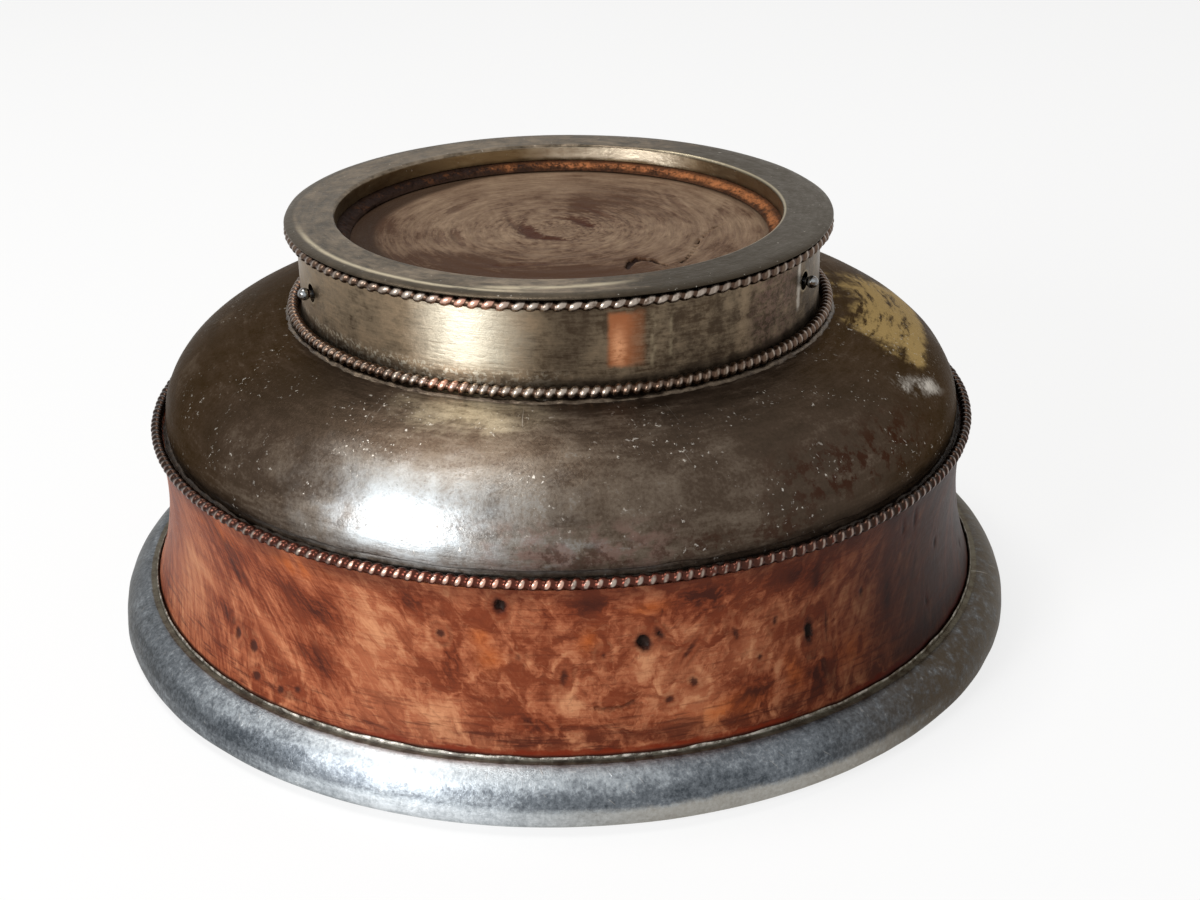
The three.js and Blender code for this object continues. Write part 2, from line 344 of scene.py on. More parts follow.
class Look(Graph):
    """A material with one Principled shader. x, y, z, radius and the sizes of noises are in mm,
    bearings in degrees and shares from 0 to 1. Its colour starts as a ramp or a mix and is then
    painted over."""

    def __init__(self, name, **constants):
        self.material = bpy.data.materials.new(name)
        self.material.use_nodes = True
        super().__init__(self.material.node_tree)
        self.tree.nodes.clear()
        self.shader = self.node("BsdfPrincipled", {
            socket.replace("_", " "): value for socket, value in constants.items()})
        output = self.node("OutputMaterial", {})
        self.tree.links.new(self.shader.outputs["BSDF"], output.inputs["Surface"])
        place = self.node("TexCoord", {}).outputs["Object"]
        self.mm = self.vector("SCALE", Value(self, place), Scale=1 / MM)
        parts = self.node("SeparateXYZ", {0: self.mm}).outputs
        self.x, self.y, self.z = [Value(self, part) for part in parts]
        self.radius = self.math("SQRT", self.x * self.x + self.y * self.y)
        self.bearing = self.math("DEGREES", self.math("ARCTAN2", self.x, self.y * -1.0))
        self.colour = None

    def vector(self, operation, *vectors, **scale):
        node = self.node("VectorMath", {**dict(enumerate(vectors)), **scale}, operation=operation)
        return Value(self, node.outputs[0])

    def combine(self, *parts):
        return Value(self, self.node("CombineXYZ", dict(enumerate(parts))).outputs[0])

    def attribute(self, name, output="Fac"):
        return Value(self, self.node("Attribute", {}, attribute_name=name).outputs[output])

    def noise(self, size, detail=4, rough=0.55, where=None, bend=0, output=0):
        """Fractal noise whose largest features lie about size mm apart, in detail octaves."""
        node = self.node("TexNoise", {
            "Vector": where or self.mm, "Scale": 1 / size, "Detail": detail, "Roughness": rough,
            "Distortion": bend})
        return Value(self, node.outputs[output])

    def streaks(self, size, spread, detail, rough):
        """Noise that is fine in height and radius and long in bearing."""
        scale = self.math("DIVIDE", spread, self.radius.top(0.5))
        where = self.combine(self.x * scale, self.y * scale, self.z + self.radius)
        return self.noise(size, detail, rough, where)

    def mix(self, share, first, second, mode="MIX"):
        node = self.node("Mix", {}, data_type="RGBA", blend_type=mode)
        for socket, value in (("Factor", share), (MIX_FIRST, first), (MIX_SECOND, second)):
            self.feed(node.inputs[socket], value)
        return Value(self, node.outputs[MIX_RESULT])

    def ramp(self, value, *stops):
        """Starts the colour as a scale, given as (place, colour) pairs."""
        node = self.node("ValToRGB", {0: value})
        elements = node.color_ramp.elements
        while len(elements) < len(stops):
            elements.new(1.0)
        for element, (where, colour) in zip(elements, stops):
            element.position = where
            element.color = colour
        self.colour = Value(self, node.outputs["Color"])

    def paint(self, colour, share, mode="MIX"):
        """Lays another colour over the colour so far."""
        self.colour = self.mix(share, self.colour, colour, mode)

    def finish(self, roughness, *bumps):
        """Each bump is (height, millimetres that its full range stands for)."""
        height = sum(value * depth for value, depth in bumps)
        bump = self.node("Bump", {"Strength": 1.0, "Distance": MM, "Height": height})
        self.tree.links.new(bump.outputs["Normal"], self.shader.inputs["Normal"])
        self.feed(self.shader.inputs["Base Color"], self.colour)
        self.feed(self.shader.inputs["Roughness"], roughness)
        return self.material


# Colours, as they show under plain light
BURR_DARK = rgb(66, 31, 22)
BURR_RED = rgb(116, 55, 33)
BURR_MID = rgb(155, 89, 60)
BURR_TAN = rgb(190, 131, 94)
BURR_AMBER = rgb(178, 92, 42)
BURR_GREY = rgb(92, 76, 66)
EAST_PAINTED_SHADE = rgb(146, 136, 128)
WEST_PAINTED_SHADE = rgb(214, 210, 208)
METAL_EDGE = rgb(232, 229, 224)
EYE_DARK = rgb(54, 29, 23)
PIT_DARK = rgb(40, 28, 24)
PIT_FLOOR = rgb(56, 47, 42)
LIP_RED = rgb(112, 38, 18)
BASE_PALE = rgb(144, 122, 100)
BASE_MID = rgb(114, 92, 74)
BASE_BROWN = rgb(72, 49, 34)
KNOT_RED = rgb(60, 31, 19)
BASE_EDGE = rgb(50, 35, 24)
GRIME = rgb(22, 17, 14)
EDGE_TINT = rgb(178, 173, 168)
PATINA_DARK = rgb(60, 50, 41)
PATINA_MID = rgb(72, 60, 50)
PATINA_PALE = rgb(102, 90, 78)
PATINA_PINK = rgb(118, 92, 84)
STAIN_RED = rgb(54, 32, 23)
SHELL_GREY = rgb(138, 136, 132)
SHELL_PAINTED_HIGHLIGHT = rgb(178, 185, 189)
SHELL_CREAM_REFLECTION = rgb(172, 160, 136)
PATCH_GOLD = rgb(180, 154, 104)
SPECK_WHITE = rgb(214, 208, 198)
RIM_BRIGHT = rgb(204, 209, 212)
RIM_PALE = rgb(160, 166, 170)
RIM_MID = rgb(106, 111, 116)
RIM_DEEP = rgb(64, 69, 74)
RIM_BROWN = rgb(66, 56, 44)
RIM_WARM = rgb(158, 150, 136)
LEDGE_OLIVE = rgb(96, 90, 76)
COLLAR_MID = rgb(118, 103, 84)
COLLAR_DARK = rgb(76, 62, 48)
COLLAR_TAN = rgb(140, 121, 98)
COLLAR_CREAM = rgb(202, 195, 176)
SEAM_TAN = rgb(158, 144, 118)
COPPER = rgb(168, 104, 68)
COPPER_CORE = rgb(232, 168, 124)
FLANGE_MID = rgb(100, 89, 76)
FLANGE_DARK = rgb(58, 51, 42)
FLANGE_PALE = rgb(128, 115, 99)
FLANGE_HIGHLIGHT = rgb(196, 184, 158)
FLANGE_CREAM_HIGHLIGHT = rgb(222, 209, 186)
BRASSY = rgb(150, 128, 94)
WIRE_PALE = rgb(176, 164, 152)
WIRE_PINK = rgb(220, 160, 136)
WIRE_DARK = rgb(98, 83, 71)
WIRE_RED = rgb(72, 55, 45)
WIRE_GAP = rgb(84, 66, 54)
BORDER_GAP = rgb(84, 46, 37)
BORDER_BODY = rgb(72, 54, 45)
# Soot and painted shade in the border wire's grooves away from the front
WIRE_SOOT_AND_SHADE = rgb(44, 33, 27)
LAC_ORANGE = rgb(158, 100, 62)
LAC_BROWN = rgb(84, 52, 32)
LAC_SHADE = rgb(40, 25, 16)
SOLDER = rgb(104, 92, 78)


def burr_material():
    look = Look("burr_wood", IOR=1.2, Specular_IOR_Level=0.25)
    z, bearing = look.z, look.bearing
    figure = look.attribute("figure", "Vector")
    burr, tone = look.attribute("burr"), look.attribute("tone")
    pit, eye = look.attribute("pit"), look.attribute("eye")
    curl = look.vector("SUBTRACT", look.noise(3.4, where=figure, output=1), (0.5, 0.5, 0.5))
    bent = look.vector("ADD", figure, look.vector("SCALE", curl, Scale=burr.blend(2.8, 5.2)))

    def drawn_out(size, along, detail, rough, bend=0):
        """Noise drawn out along the grain, the more so the smaller the along value."""
        where = look.vector("MULTIPLY", bent, (along, along, 1))
        return look.noise(size, detail, rough, where, bend)

    grain = drawn_out(0.8, 0.3, 7, 0.7)
    streak = drawn_out(3.4, 0.35, 6, 0.6, bend=0.5)
    fibre = drawn_out(0.5, 0.16, 3, 0.6)
    blotch = look.noise(3.4, 5, 0.54, bent, bend=0.7)
    wisp = look.noise(3.4, where=bent, bend=1.6)
    cloud = look.noise(8, 3, where=figure)
    fleck = look.noise(0.45, 3, 0.6, figure)
    turning = look.streaks(0.32, 3, 4, 0.65)
    straight = grain.swing(1.2) + streak.swing(0.6)
    curly = blotch.swing(1.7) + grain.swing(0.6)
    rings = look.math("SINE", eye * 5.5 + blotch.swing(6)) * eye.fade(3.2, 0.5) * 0.13
    shade = (0.44 + burr.blend(straight, curly) + rings + cloud.swing(0.6) + fleck.swing(0.26)
             + turning.swing(0.3))
    shade = shade.top(0.34 + grain.swing(0.45)) + tone * 0.3
    look.ramp(shade, (0.05, BURR_DARK), (0.34, BURR_RED), (0.58, BURR_MID), (0.92, BURR_TAN))
    wisps = wisp.near(0.5, 0.05) * blotch.fade(0.36, 0.6) * tone.fade(-0.5, 0.4) * 0.32
    look.paint(BURR_TAN, wisps)
    look.paint(BURR_AMBER, look.attribute("amber") * blotch.fade(0.3, 0.65) * 0.75)
    look.paint(BURR_DARK, fibre.fade(0.58, 0.7) * 0.3)
    look.paint(BURR_TAN, fibre.fade(0.42, 0.3) * tone.fade(-0.8, 0.2) * 0.22)
    grey_wood = look.mix(0.45 + straight, BURR_DARK, BURR_GREY)
    look.paint(grey_wood, look.attribute("grey") * cloud.fade(0.95, 0.35) * 0.8)

    # Turning scratches, dense towards the lip, where the wood is sooty above a red line
    low_down = z.fade(14.5, 9)
    look.paint(BURR_DARK, turning.fade(0.5, 0.34) * low_down.blend(0.2, 0.7))
    look.paint(BURR_TAN, turning.fade(0.62, 0.74) * low_down.blend(0.12, 0.3))
    sooty = z.between(8.5, 10.4, 0.9) * blotch.fade(0.75, 0.35) * bearing.fade(-22, -4) * 0.6
    look.paint(BURR_DARK, sooty)
    lip_line = (z.stir(look.noise(1.6), 1.1).fade(8.5, 8.1) * look.noise(9).fade(0.35, 0.55)
                * abs(bearing - 25).fade(62, 40) * 0.85)
    look.paint(LIP_RED, lip_line)
    # Painted shade along the foot of the wood where it meets the rim's lip
    look.paint(PIT_DARK, z.fade(7.95, 7.6) * 0.8)
    look.paint(BURR_DARK, z.fade(26.2, 28.6) * cloud.fade(0.8, 0.4) * 0.6)

    # Eyes: a pale broken ring, a red halo and a dark heart; pits are open and dusty inside
    ragged_eye = eye.stir(look.noise(0.6, 3, where=figure), 0.55)
    look.paint(BURR_TAN, ragged_eye.between(0.75, 1.15, 0.25) * wisp.fade(0.4, 0.62) * 0.25)
    look.paint(BURR_RED, ragged_eye.fade(1.1, 0.1) * 0.55)
    look.paint(EYE_DARK, ragged_eye.fade(0.3, -0.16) * 0.85)
    ragged_pit = pit.stir(look.noise(0.6), 0.8)
    look.paint(BURR_DARK, ragged_pit.fade(0.7, 0.05) * 0.7)
    dusty = ragged_pit.fade(-0.35, -0.75) * fleck.fade(0.4, 0.6) * 0.5
    look.paint(look.mix(dusty, PIT_DARK, PIT_FLOOR), ragged_pit.fade(0.2, -0.15))
    crack = look.attribute("crack").stir(look.noise(0.9, 3), 0.35)
    look.paint(PIT_DARK, crack.fade(0.2, 0) * 0.6)

    # Painted shade: the wood is darker round to the right and a little at the left
    look.paint(EAST_PAINTED_SHADE, bearing.fade(14, 56) * bearing.fade(172, 140), "MULTIPLY")
    look.paint(WEST_PAINTED_SHADE, bearing.near(-70, 38), "MULTIPLY")
    return look.finish(
        0.42 + fleck.swing(0.2) + turning.swing(0.2), (grain, 0.03), (fleck, 0.02),
        (turning, 0.03), (ragged_pit.fade(-0.1, 0.15), 0.12), (crack.fade(0.05, 0.3), 0.12))


def base_material():
    look = Look("worn_base_wood", IOR=1.2, Specular_IOR_Level=0.25)
    knot = look.attribute("eye")
    turning = look.streaks(0.5, 2.6, 5, 0.68)
    broad = look.streaks(1.8, 7, 5, 0.62)
    cloud = look.noise(9, 5, 0.6)
    fine = look.noise(0.5, 4, 0.65)
    rings = look.math("SINE", knot * 6.5 + cloud.swing(16)) * knot.fade(4, 0.4) * 0.06
    shade = (0.5 + turning.swing(1.2) * look.radius.fade(17, 7).blend(0.9, 1.5) + rings
             + broad.swing(0.9) + cloud.swing(0.9) + fine.swing(0.4)
             + look.attribute("tone") * 0.42 + look.y.fade(6, -22) * -0.2)
    look.ramp(shade, (0.08, BASE_BROWN), (0.42, BASE_MID), (0.85, BASE_PALE))
    ragged_knot = knot + turning.swing(2.2) + fine.swing(0.8)
    red = look.radius.fade(4.5, 8).blend(0.95, 0.5)
    look.paint(KNOT_RED, ragged_knot.fade(0.85, 0.1) * red)
    crack = look.attribute("crack").stir(look.noise(0.7, 3), 0.2)
    look.paint(PIT_DARK, crack.fade(0.14, -0.04) * 0.95)
    # Darker round the edge of the base as dirt and painted shade, widest on the left as painted
    # shadow
    edge = look.radius + cloud.swing(1.6) + fine.swing(0.8) + look.x.fade(-6, -24) * 3.2
    look.paint(BASE_EDGE, edge.fade(28, 29.8) * 0.9)
    return look.finish(
        0.6 + turning.swing(0.3), (turning, 0.13), (broad, 0.1), (fine, 0.06),
        (crack.fade(0, 0.15), 0.2))


def silver_look(name, anisotropic, **constants):
    """Silver that is brushed along circles about Z."""
    look = Look(
        name, Metallic=1.0, Anisotropic=anisotropic, Anisotropic_Rotation=0.25, **constants)
    tangent = look.node("Tangent", {}, direction_type="RADIAL", axis="Z")
    look.tree.links.new(tangent.outputs["Tangent"], look.shader.inputs["Tangent"])
    return look


def shell_material():
    look = silver_look("patinated_silver_shell", 0.5, Specular_Tint=EDGE_TINT)
    z, bearing = look.z, look.bearing
    cloud = look.noise(11, 6, 0.6)
    blotch = look.noise(3.4, 6, 0.64, look.vector("MULTIPLY", look.mm, (1, 1, 1.6)))
    rings = look.streaks(0.9, 6, 6, 0.7)
    fine = look.noise(0.45, 4, 0.66)
    # Painted light: paler facing the window at the front left, less so near the crown, and painted
    # shade high up on the left
    painted_light = bearing.near(-10, 62) * z.fade(39.5, 42.5).blend(0.42, 0.2)
    from_front = abs(bearing)
    shade = (0.25 + painted_light + cloud.swing(0.5) + blotch.swing(0.5) + rings.swing(1.15)
             + fine.swing(0.6) + z.fade(40, 42.5) * bearing.between(-55, -31, 8) * -0.25
             + from_front.fade(100, 150) * 0.25)
    look.ramp(
        shade, (0.08, PATINA_DARK), (0.38, PATINA_MID), (0.68, PATINA_PALE), (0.98, SHELL_GREY))

    # Rubbed paler silver with a painted highlight towards the light,
    # and a painted cream reflection near the crown
    side = bearing.stir(look.noise(3, 5, 0.65), 16)
    level = z.stir(blotch, 3)
    streaky = rings.stir(fine, 0.6).fade(0.1, 0.65)
    look.paint(SHELL_GREY, side.near(-17, 24) * level.between(31.4, 41, 1.6) * streaky * 0.85)
    look.paint(SHELL_PAINTED_HIGHLIGHT, side.near(-18.5, 14) * level.between(32.3, 39, 2.2) * streaky * 0.95)
    look.paint(SHELL_CREAM_REFLECTION, side.near(-15, 17) * level.fade(42.8, 44.4) * streaky * 0.75)
    pink = bearing.between(-8, 14, 4) * level.between(31.5, 36.5, 1.2) * blotch.fade(0.42, 0.6)
    look.paint(PATINA_PINK, pink * 0.6)
    stain_edge = look.noise(2.2, 6, 0.7)
    ragged_stain = stain_edge.fade(0.47, 0.58)
    stain = bearing.between(30, 58, 8) * z.between(34, 39.6, 1.5) * ragged_stain * 0.85
    low_stain = bearing.between(-6, 34, 5) * z.between(31, 34.5, 1.2) * ragged_stain * 0.6
    back_stain = from_front.fade(100, 130) * stain_edge.fade(0.52, 0.66) * 0.6
    look.paint(STAIN_RED, stain.top(low_stain).top(back_stain))

    # Where the tarnish has rubbed away, and a painted highlight in white streaks
    worn_gold = side.between(72, 104, 3) * level.between(39.8, 44.1, 0.5) * rings.fade(0.38, 0.52)
    look.paint(PATCH_GOLD, worn_gold * 0.8)
    slant = z + bearing * 0.28
    painted_white_glint = (bearing.stir(fine, 8).between(62.5, 71.5, 2) * blotch.fade(0.38, 0.6)
                  * rings.fade(0.35, 0.6) * slant.stir(fine, 2).between(56.9, 58.6, 0.7) * 0.8)
    look.paint(SPECK_WHITE, painted_white_glint)
    flock = look.noise(6.5, 2)
    flecks = look.noise(0.6, 2, 0.6).fade(0.63, 0.73) * flock.fade(0.48, 0.62) * 0.6
    look.paint(SPECK_WHITE, flecks)
    scratch = look.noise(0.55, 2, where=look.combine(bearing + z * 0.6, z * 0.22, 0))
    look.paint(SPECK_WHITE, scratch.fade(0.7, 0.76) * flock.fade(0.5, 0.62) * 0.3)
    look.paint(PATINA_DARK, fine.fade(0.56, 0.7) * blotch.fade(0.35, 0.6) * 0.35)

    # The skirt's edge has a painted highlight towards the light,
    # and soot fills the channel under it
    ragged = z.stir(look.noise(1.5), 0.6)
    edge = ragged.between(30.75, 31.2, 0.2) * cloud.fade(0.35, 0.55) * bearing.near(-20, 50)
    look.paint(SHELL_GREY, edge * 0.6)
    soot = ragged.fade(30.6, 30.2) * 0.9
    look.paint(GRIME, soot)
    return look.finish(
        0.44 + blotch.swing(0.3) + rings.swing(0.3) + soot * 0.4, (rings, 0.06), (blotch, 0.07),
        (flecks, 0.03), (fine, 0.03), (fine.fade(0.62, 0.75), -0.02))


def rim_material():
    look = silver_look("rim_silver", 0.3, Specular_Tint=METAL_EDGE)
    z, bearing = look.z, look.bearing
    mottle = look.noise(1.7, 6, 0.74)
    grit = look.noise(0.5, 4, 0.7)
    cloud = look.noise(9, 5, 0.6)
    streaks = look.streaks(0.8, 6, 5, 0.68)
    level = z + mottle.swing(1.3) + cloud.swing(1.2)
    upper, lower = level.fade(4.9, 6.2), level.fade(3.7, 2.7)
    side = bearing.stir(cloud, 24)
    # Painted light: paler towards the front left, with painted highlights in the upper and lower
    # bands
    shade = (0.12 + mottle.swing(0.6) + cloud.swing(0.35) + streaks.swing(0.5) + grit.swing(0.85)
             + side.near(-15, 20) * 0.3 + side.near(0, 40) * 0.08
             + upper * side.between(-50, 12, 16).blend(0.1, 0.3)
             + lower * side.between(-36, 36, 12).blend(0.14, 0.4))
    look.ramp(shade, (0.02, RIM_DEEP), (0.3, RIM_MID), (0.62, RIM_PALE), (0.98, RIM_BRIGHT))
    # Painted shade: browner and darker round to the right
    look.paint(RIM_BROWN, abs(bearing - 100).fade(75, 48) * mottle.fade(0.9, 0.4) * 0.95)
    look.paint(RIM_WARM, lower * bearing.between(2, 42, 12) * 0.6)
    ledge = look.radius.stir(mottle, 0.4).fade(61.3, 61.1) * z.fade(6.9, 7.05) * 0.9
    look.paint(look.mix(mottle.fade(0.35, 0.6), RIM_BROWN, LEDGE_OLIVE), ledge)
    # The raised lip is painted pale, with painted highlight making it paler at the front and left
    lip = (z.fade(7.42, 7.52) * look.noise(1.3, 5, 0.7).fade(0.42, 0.66)
           * bearing.between(-75, 20, 14).blend(0.3, 0.85))
    look.paint(SPECK_WHITE, lip)
    look.paint(GRIME, z.fade(7, 6.9) * look.radius.fade(60.6, 60.3))

    # Scratches: upright ones near the top, and a few slanting ones
    upright = look.noise(0.45, 3, where=look.combine(bearing, z * 0.5, 0))
    slanting = look.noise(0.4, 1, where=look.combine(bearing + z, z * 0.3, 3))
    scratches = upright.fade(0.58, 0.76) * upper * mottle.fade(0.4, 0.6)
    scratches = scratches.top(slanting.fade(0.72, 0.78) * cloud.fade(0.45, 0.6))
    look.paint(SPECK_WHITE, scratches * 0.2)
    return look.finish(
        0.46 + mottle.swing(0.3), (mottle, 0.07), (cloud, 0.1), (grit, 0.03), (streaks, 0.03),
        (scratches, 0.02))


def collar_material():
    look = silver_look("patinated_silver_collar", 0.7, Specular_Tint=METAL_EDGE)
    z, bearing = look.z, look.bearing
    brush = look.streaks(0.5, 5, 5, 0.7)
    cloud = look.noise(8, 6, 0.6)
    blotch = look.noise(2.2, 6, 0.65)
    fine = look.noise(0.6, 3, 0.65)
    # Painted light: paler round to the left and where the collar faces the window
    lit = bearing.stir(blotch, 6).near(-17.5, 15)
    shade = (0.36 + cloud.swing(1.1) + brush.swing(1.2) + blotch.swing(1.2) + fine.swing(0.6)
             + bearing.fade(8, -8) * 0.3 + lit * 0.25)
    look.ramp(shade, (0.15, COLLAR_DARK), (0.5, COLLAR_MID), (0.88, COLLAR_TAN))
    # Painted highlight in cream where the collar faces the window
    bright = lit * brush.fade(0.2, 0.45) * fine.fade(0.15, 0.35)
    look.paint(COLLAR_CREAM, bright * z.stir(cloud, 3).fade(46.5, 49.5) * 0.95)
    # A painted dark reflection in an upright band at the front
    look.paint(PATINA_DARK, bearing.between(-2, 10.5, 2.5) * cloud.fade(0.75, 0.4) * 0.45)
    # Painted shade: darker round to the right
    right = bearing.fade(17, 24) * bearing.fade(170, 120) * bearing.fade(58, 66).blend(0.6, 0.9)
    look.paint(PATINA_DARK, right * blotch.fade(0.7, 0.3))
    look.paint(PATINA_PINK, bearing.between(43, 60, 4) * fine.fade(0.4, 0.62) * 0.45)
    look.paint(COLLAR_TAN, bearing.near(40.5, 3.2) * blotch.fade(0.35, 0.55) * 0.6)
    # A painted reflection: a pale upright line on the right
    pale_line = bearing.stir(blotch, 2).near(61, 1.3) * z.between(49, 55.5, 0.6)
    look.paint(SPECK_WHITE, pale_line * 0.6)

    # A copper-coloured upright stretch with a paler core, beside two upright solder seams
    side = bearing.stir(blotch, 1.4)
    patch = (side.fade(9.7, 10.9) * side.fade(18.4, 16.4)
             * z.stir(blotch, 1.6).between(48.3, 55.3, 0.5))
    look.paint(COPPER, patch * side.fade(13.4, 16.6).blend(0.9, 0.4))
    core = bearing.stir(brush, 3).near(12.4, 2.2) * z.near(50.6, 4.2) * fine.fade(0.2, 0.5)
    look.paint(COPPER_CORE, patch * core * 0.9)
    look.paint(SEAM_TAN, look.attribute("seam") * blotch.fade(0.3, 0.55) * 0.5)
    worn_low = z.fade(48.6, 47.4) * fine.fade(0.5, 0.58) * bearing.fade(8, -20)
    look.paint(COLLAR_CREAM, worn_low * 0.6)
    low = z.stir(blotch, 1.5).fade(47.6, 46.8) * 0.6
    high = z.stir(blotch, 1.2).fade(56.1, 56.6) * 0.5
    look.paint(PATINA_DARK, low.top(high))
    hole = look.attribute("hole")
    look.paint(SEAM_TAN, hole.between(0.02, 0.26, 0.1) * 0.5)
    # Painted shade in the bores of the pin holes
    look.paint(GRIME, hole.fade(0.04, -0.02))
    return look.finish(
        0.38 + brush.swing(0.25) + blotch.swing(0.2), (brush, 0.05), (blotch, 0.05), (fine, 0.02))


def flange_material():
    look = silver_look("flange_silver", 0.4, Specular_Tint=METAL_EDGE)
    x, z, radius, bearing = look.x, look.z, look.radius, look.bearing
    cloud = look.noise(7, 6, 0.6)
    fine = look.streaks(0.8, 8, 5, 0.65)
    scuff = look.noise(1.6, 5, 0.7)
    # Painted shade round to the right and painted light at the front are laid into the tone
    shade = (0.5 + cloud.swing(1.3) + fine.swing(1.5) + scuff.swing(1.7)
             + bearing.fade(4, 34) * bearing.fade(172, 128) * -0.8 + bearing.near(0, 16) * 0.12)
    look.ramp(shade, (0.1, FLANGE_DARK), (0.5, FLANGE_MID), (0.88, FLANGE_PALE))
    across = radius.stir(cloud, 0.5)
    # A painted dark reflection on the outer rounding
    look.paint(FLANGE_DARK, across.fade(36.3, 36.9) * 0.8)
    # Painted highlights along the outer rounding at the front left and across the front
    outer_line = across.near(36.15, 0.6) * bearing.between(-70, -8, 9) * fine.fade(0.25, 0.45)
    front_line = (across + bearing * 0.045).near(34.6, 0.9) * bearing.between(-14, 14, 5)
    front_line = front_line * fine.fade(0.25, 0.5) * 0.75
    look.paint(FLANGE_HIGHLIGHT, (outer_line * 0.9).top(front_line))
    face = z.fade(57.9, 58.1)
    # A painted highlight along the inner edge round the right and back
    look.paint(FLANGE_HIGHLIGHT, radius.near(31.35, 0.28) * face * bearing.between(35, 150, 12) * 0.6)

    # The inner lip: brassy, with a painted highlight along one stretch at the back,
    # and painted shadow low down and round the left
    inside = radius.fade(31.6, 31.2) * z.fade(58.1, 57.7)
    look.paint(BRASSY, inside)
    shine = x.between(-4, 19, 4) * look.y.fade(5, 15) * inside * z.stir(cloud, 1).fade(55.9, 56.5)
    look.paint(FLANGE_CREAM_HIGHLIGHT, shine * 0.85)
    look.paint(FLANGE_MID, x.fade(19, 24) * inside * 0.6)
    recess_shadow = z.stir(cloud, 1.2).fade(56.7, 55.9).top(x.fade(-12, -27))
    look.paint(LAC_SHADE, recess_shadow * inside * 0.7)
    look.paint(SPECK_WHITE, look.noise(0.5, 2, 0.6).fade(0.7, 0.76) * 0.5)
    look.paint(FLANGE_DARK, scuff.fade(0.6, 0.72) * face * 0.4)
    return look.finish(
        0.38 + fine.swing(0.3) + scuff.swing(0.3), (fine, 0.04), (cloud, 0.08), (scuff, 0.07))


def wire_material(name, shine, pink, exposed, body, gap, far_gap):
    """Twisted wire, with a painted highlight between two bearings and pink between two others.
    Dirt and painted shade of the gap's colour lie on all that stands out less than a threshold,
    with the far gap's colour away from the front, and each crest has a painted highlight line."""
    look = Look(name, Metallic=1.0)
    face = look.attribute("face")
    mottle = look.noise(1.1, 4, 0.6)
    patchy = look.noise(4, 3)
    look.colour = look.mix(mottle.fade(0.35, 0.7), gap, body)
    # A painted highlight between the shine bearings
    painted_shine = look.bearing.between(*shine, 9) * mottle.stir(patchy, 0.8).fade(0.2, 0.5)
    look.paint(WIRE_PALE, painted_shine * 0.75)
    look.paint(WIRE_PINK, look.bearing.between(*pink, 3) * patchy.fade(0.35, 0.55) * 0.8)
    # A painted highlight line along each crest
    crest = look.attribute("crest").fade(0.9, 0.985) * face.fade(0.4, 0.8) * mottle.fade(0.3, 0.55)
    look.paint(WIRE_PALE, crest * 0.5)
    # Dirt and painted shade on what stands out less, darker away from the front
    dirt_and_shade = look.mix(look.bearing.near(-9, 60), far_gap, gap)
    look.paint(dirt_and_shade, face.stir(mottle, 0.2).fade(exposed, exposed - 0.25))
    return look.finish(0.32 + mottle.swing(0.25), (mottle, 0.03))


def lac_material():
    look = Look("lac_cement", IOR=1.15)
    grains = look.noise(0.5, 5, 0.7)
    cloud = look.noise(3, 5, 0.6)
    # Orange lac, darkened towards the left by dirt and painted shade, lit towards the right by
    # painted light
    orange_and_painted_light = look.x.stir(cloud, 16).fade(-20, 8)
    shade = -0.06 + orange_and_painted_light * 0.56 + grains.swing(1.6) + cloud.swing(1.2)
    look.ramp(shade, (0.0, PIT_DARK), (0.3, LAC_BROWN), (0.75, LAC_ORANGE))
    look.paint(COPPER, look.x.between(-2, 18, 4) * grains.fade(0.45, 0.65) * 0.75)
    # Painted shade along the foot of the lac where it meets the wooden base
    look.paint(LAC_SHADE, look.z.stir(cloud, 0.9).fade(55.4, 55) * 0.85)
    crumbs = grains.fade(0.42, 0.32) * 0.8
    upper = look.z.stir(grains, 1).fade(55.62, 55.9) * 0.85
    look.paint(LAC_SHADE, crumbs.top(upper))
    return look.finish(0.7, (grains, 0.15))


def soot_material():
    look = Look("border_soot", Specular_IOR_Level=0.2)
    lumps = look.noise(0.8, 4, 0.6)
    look.ramp(lumps, (0.3, GRIME), (0.75, PATINA_MID))
    return look.finish(0.6 + lumps.swing(0.3), (lumps, 0.12))


def solder_material():
    look = Look("solder", Metallic=0.9)
    lumps = look.noise(0.9, 5, 0.65)
    look.ramp(lumps.stir(look.noise(4, 3), 0.6), (0.35, PATINA_DARK), (0.7, SOLDER))
    return look.finish(0.42 + lumps.swing(0.3), (lumps, 0.15))


def pin_material():
    look = Look("pin_silver", Metallic=1.0)
    mottle = look.noise(0.8)
    look.ramp(mottle, (0.35, COLLAR_DARK), (0.65, RIM_PALE))
    return look.finish(0.26 + mottle.swing(0.25), (mottle, 0.04))


def liner_material():
    look = silver_look("liner_silver", 0.5)
    brush = look.streaks(0.7, 5, 4, 0.65)
    cloud = look.noise(12, 5, 0.6)
    shade = 0.5 + cloud.swing(0.9) + brush.swing(0.4)
    look.ramp(shade, (0.15, COLLAR_DARK), (0.5, RIM_MID), (0.85, RIM_PALE))
    return look.finish(0.34 + brush.swing(0.2), (brush, 0.03), (cloud, 0.1))


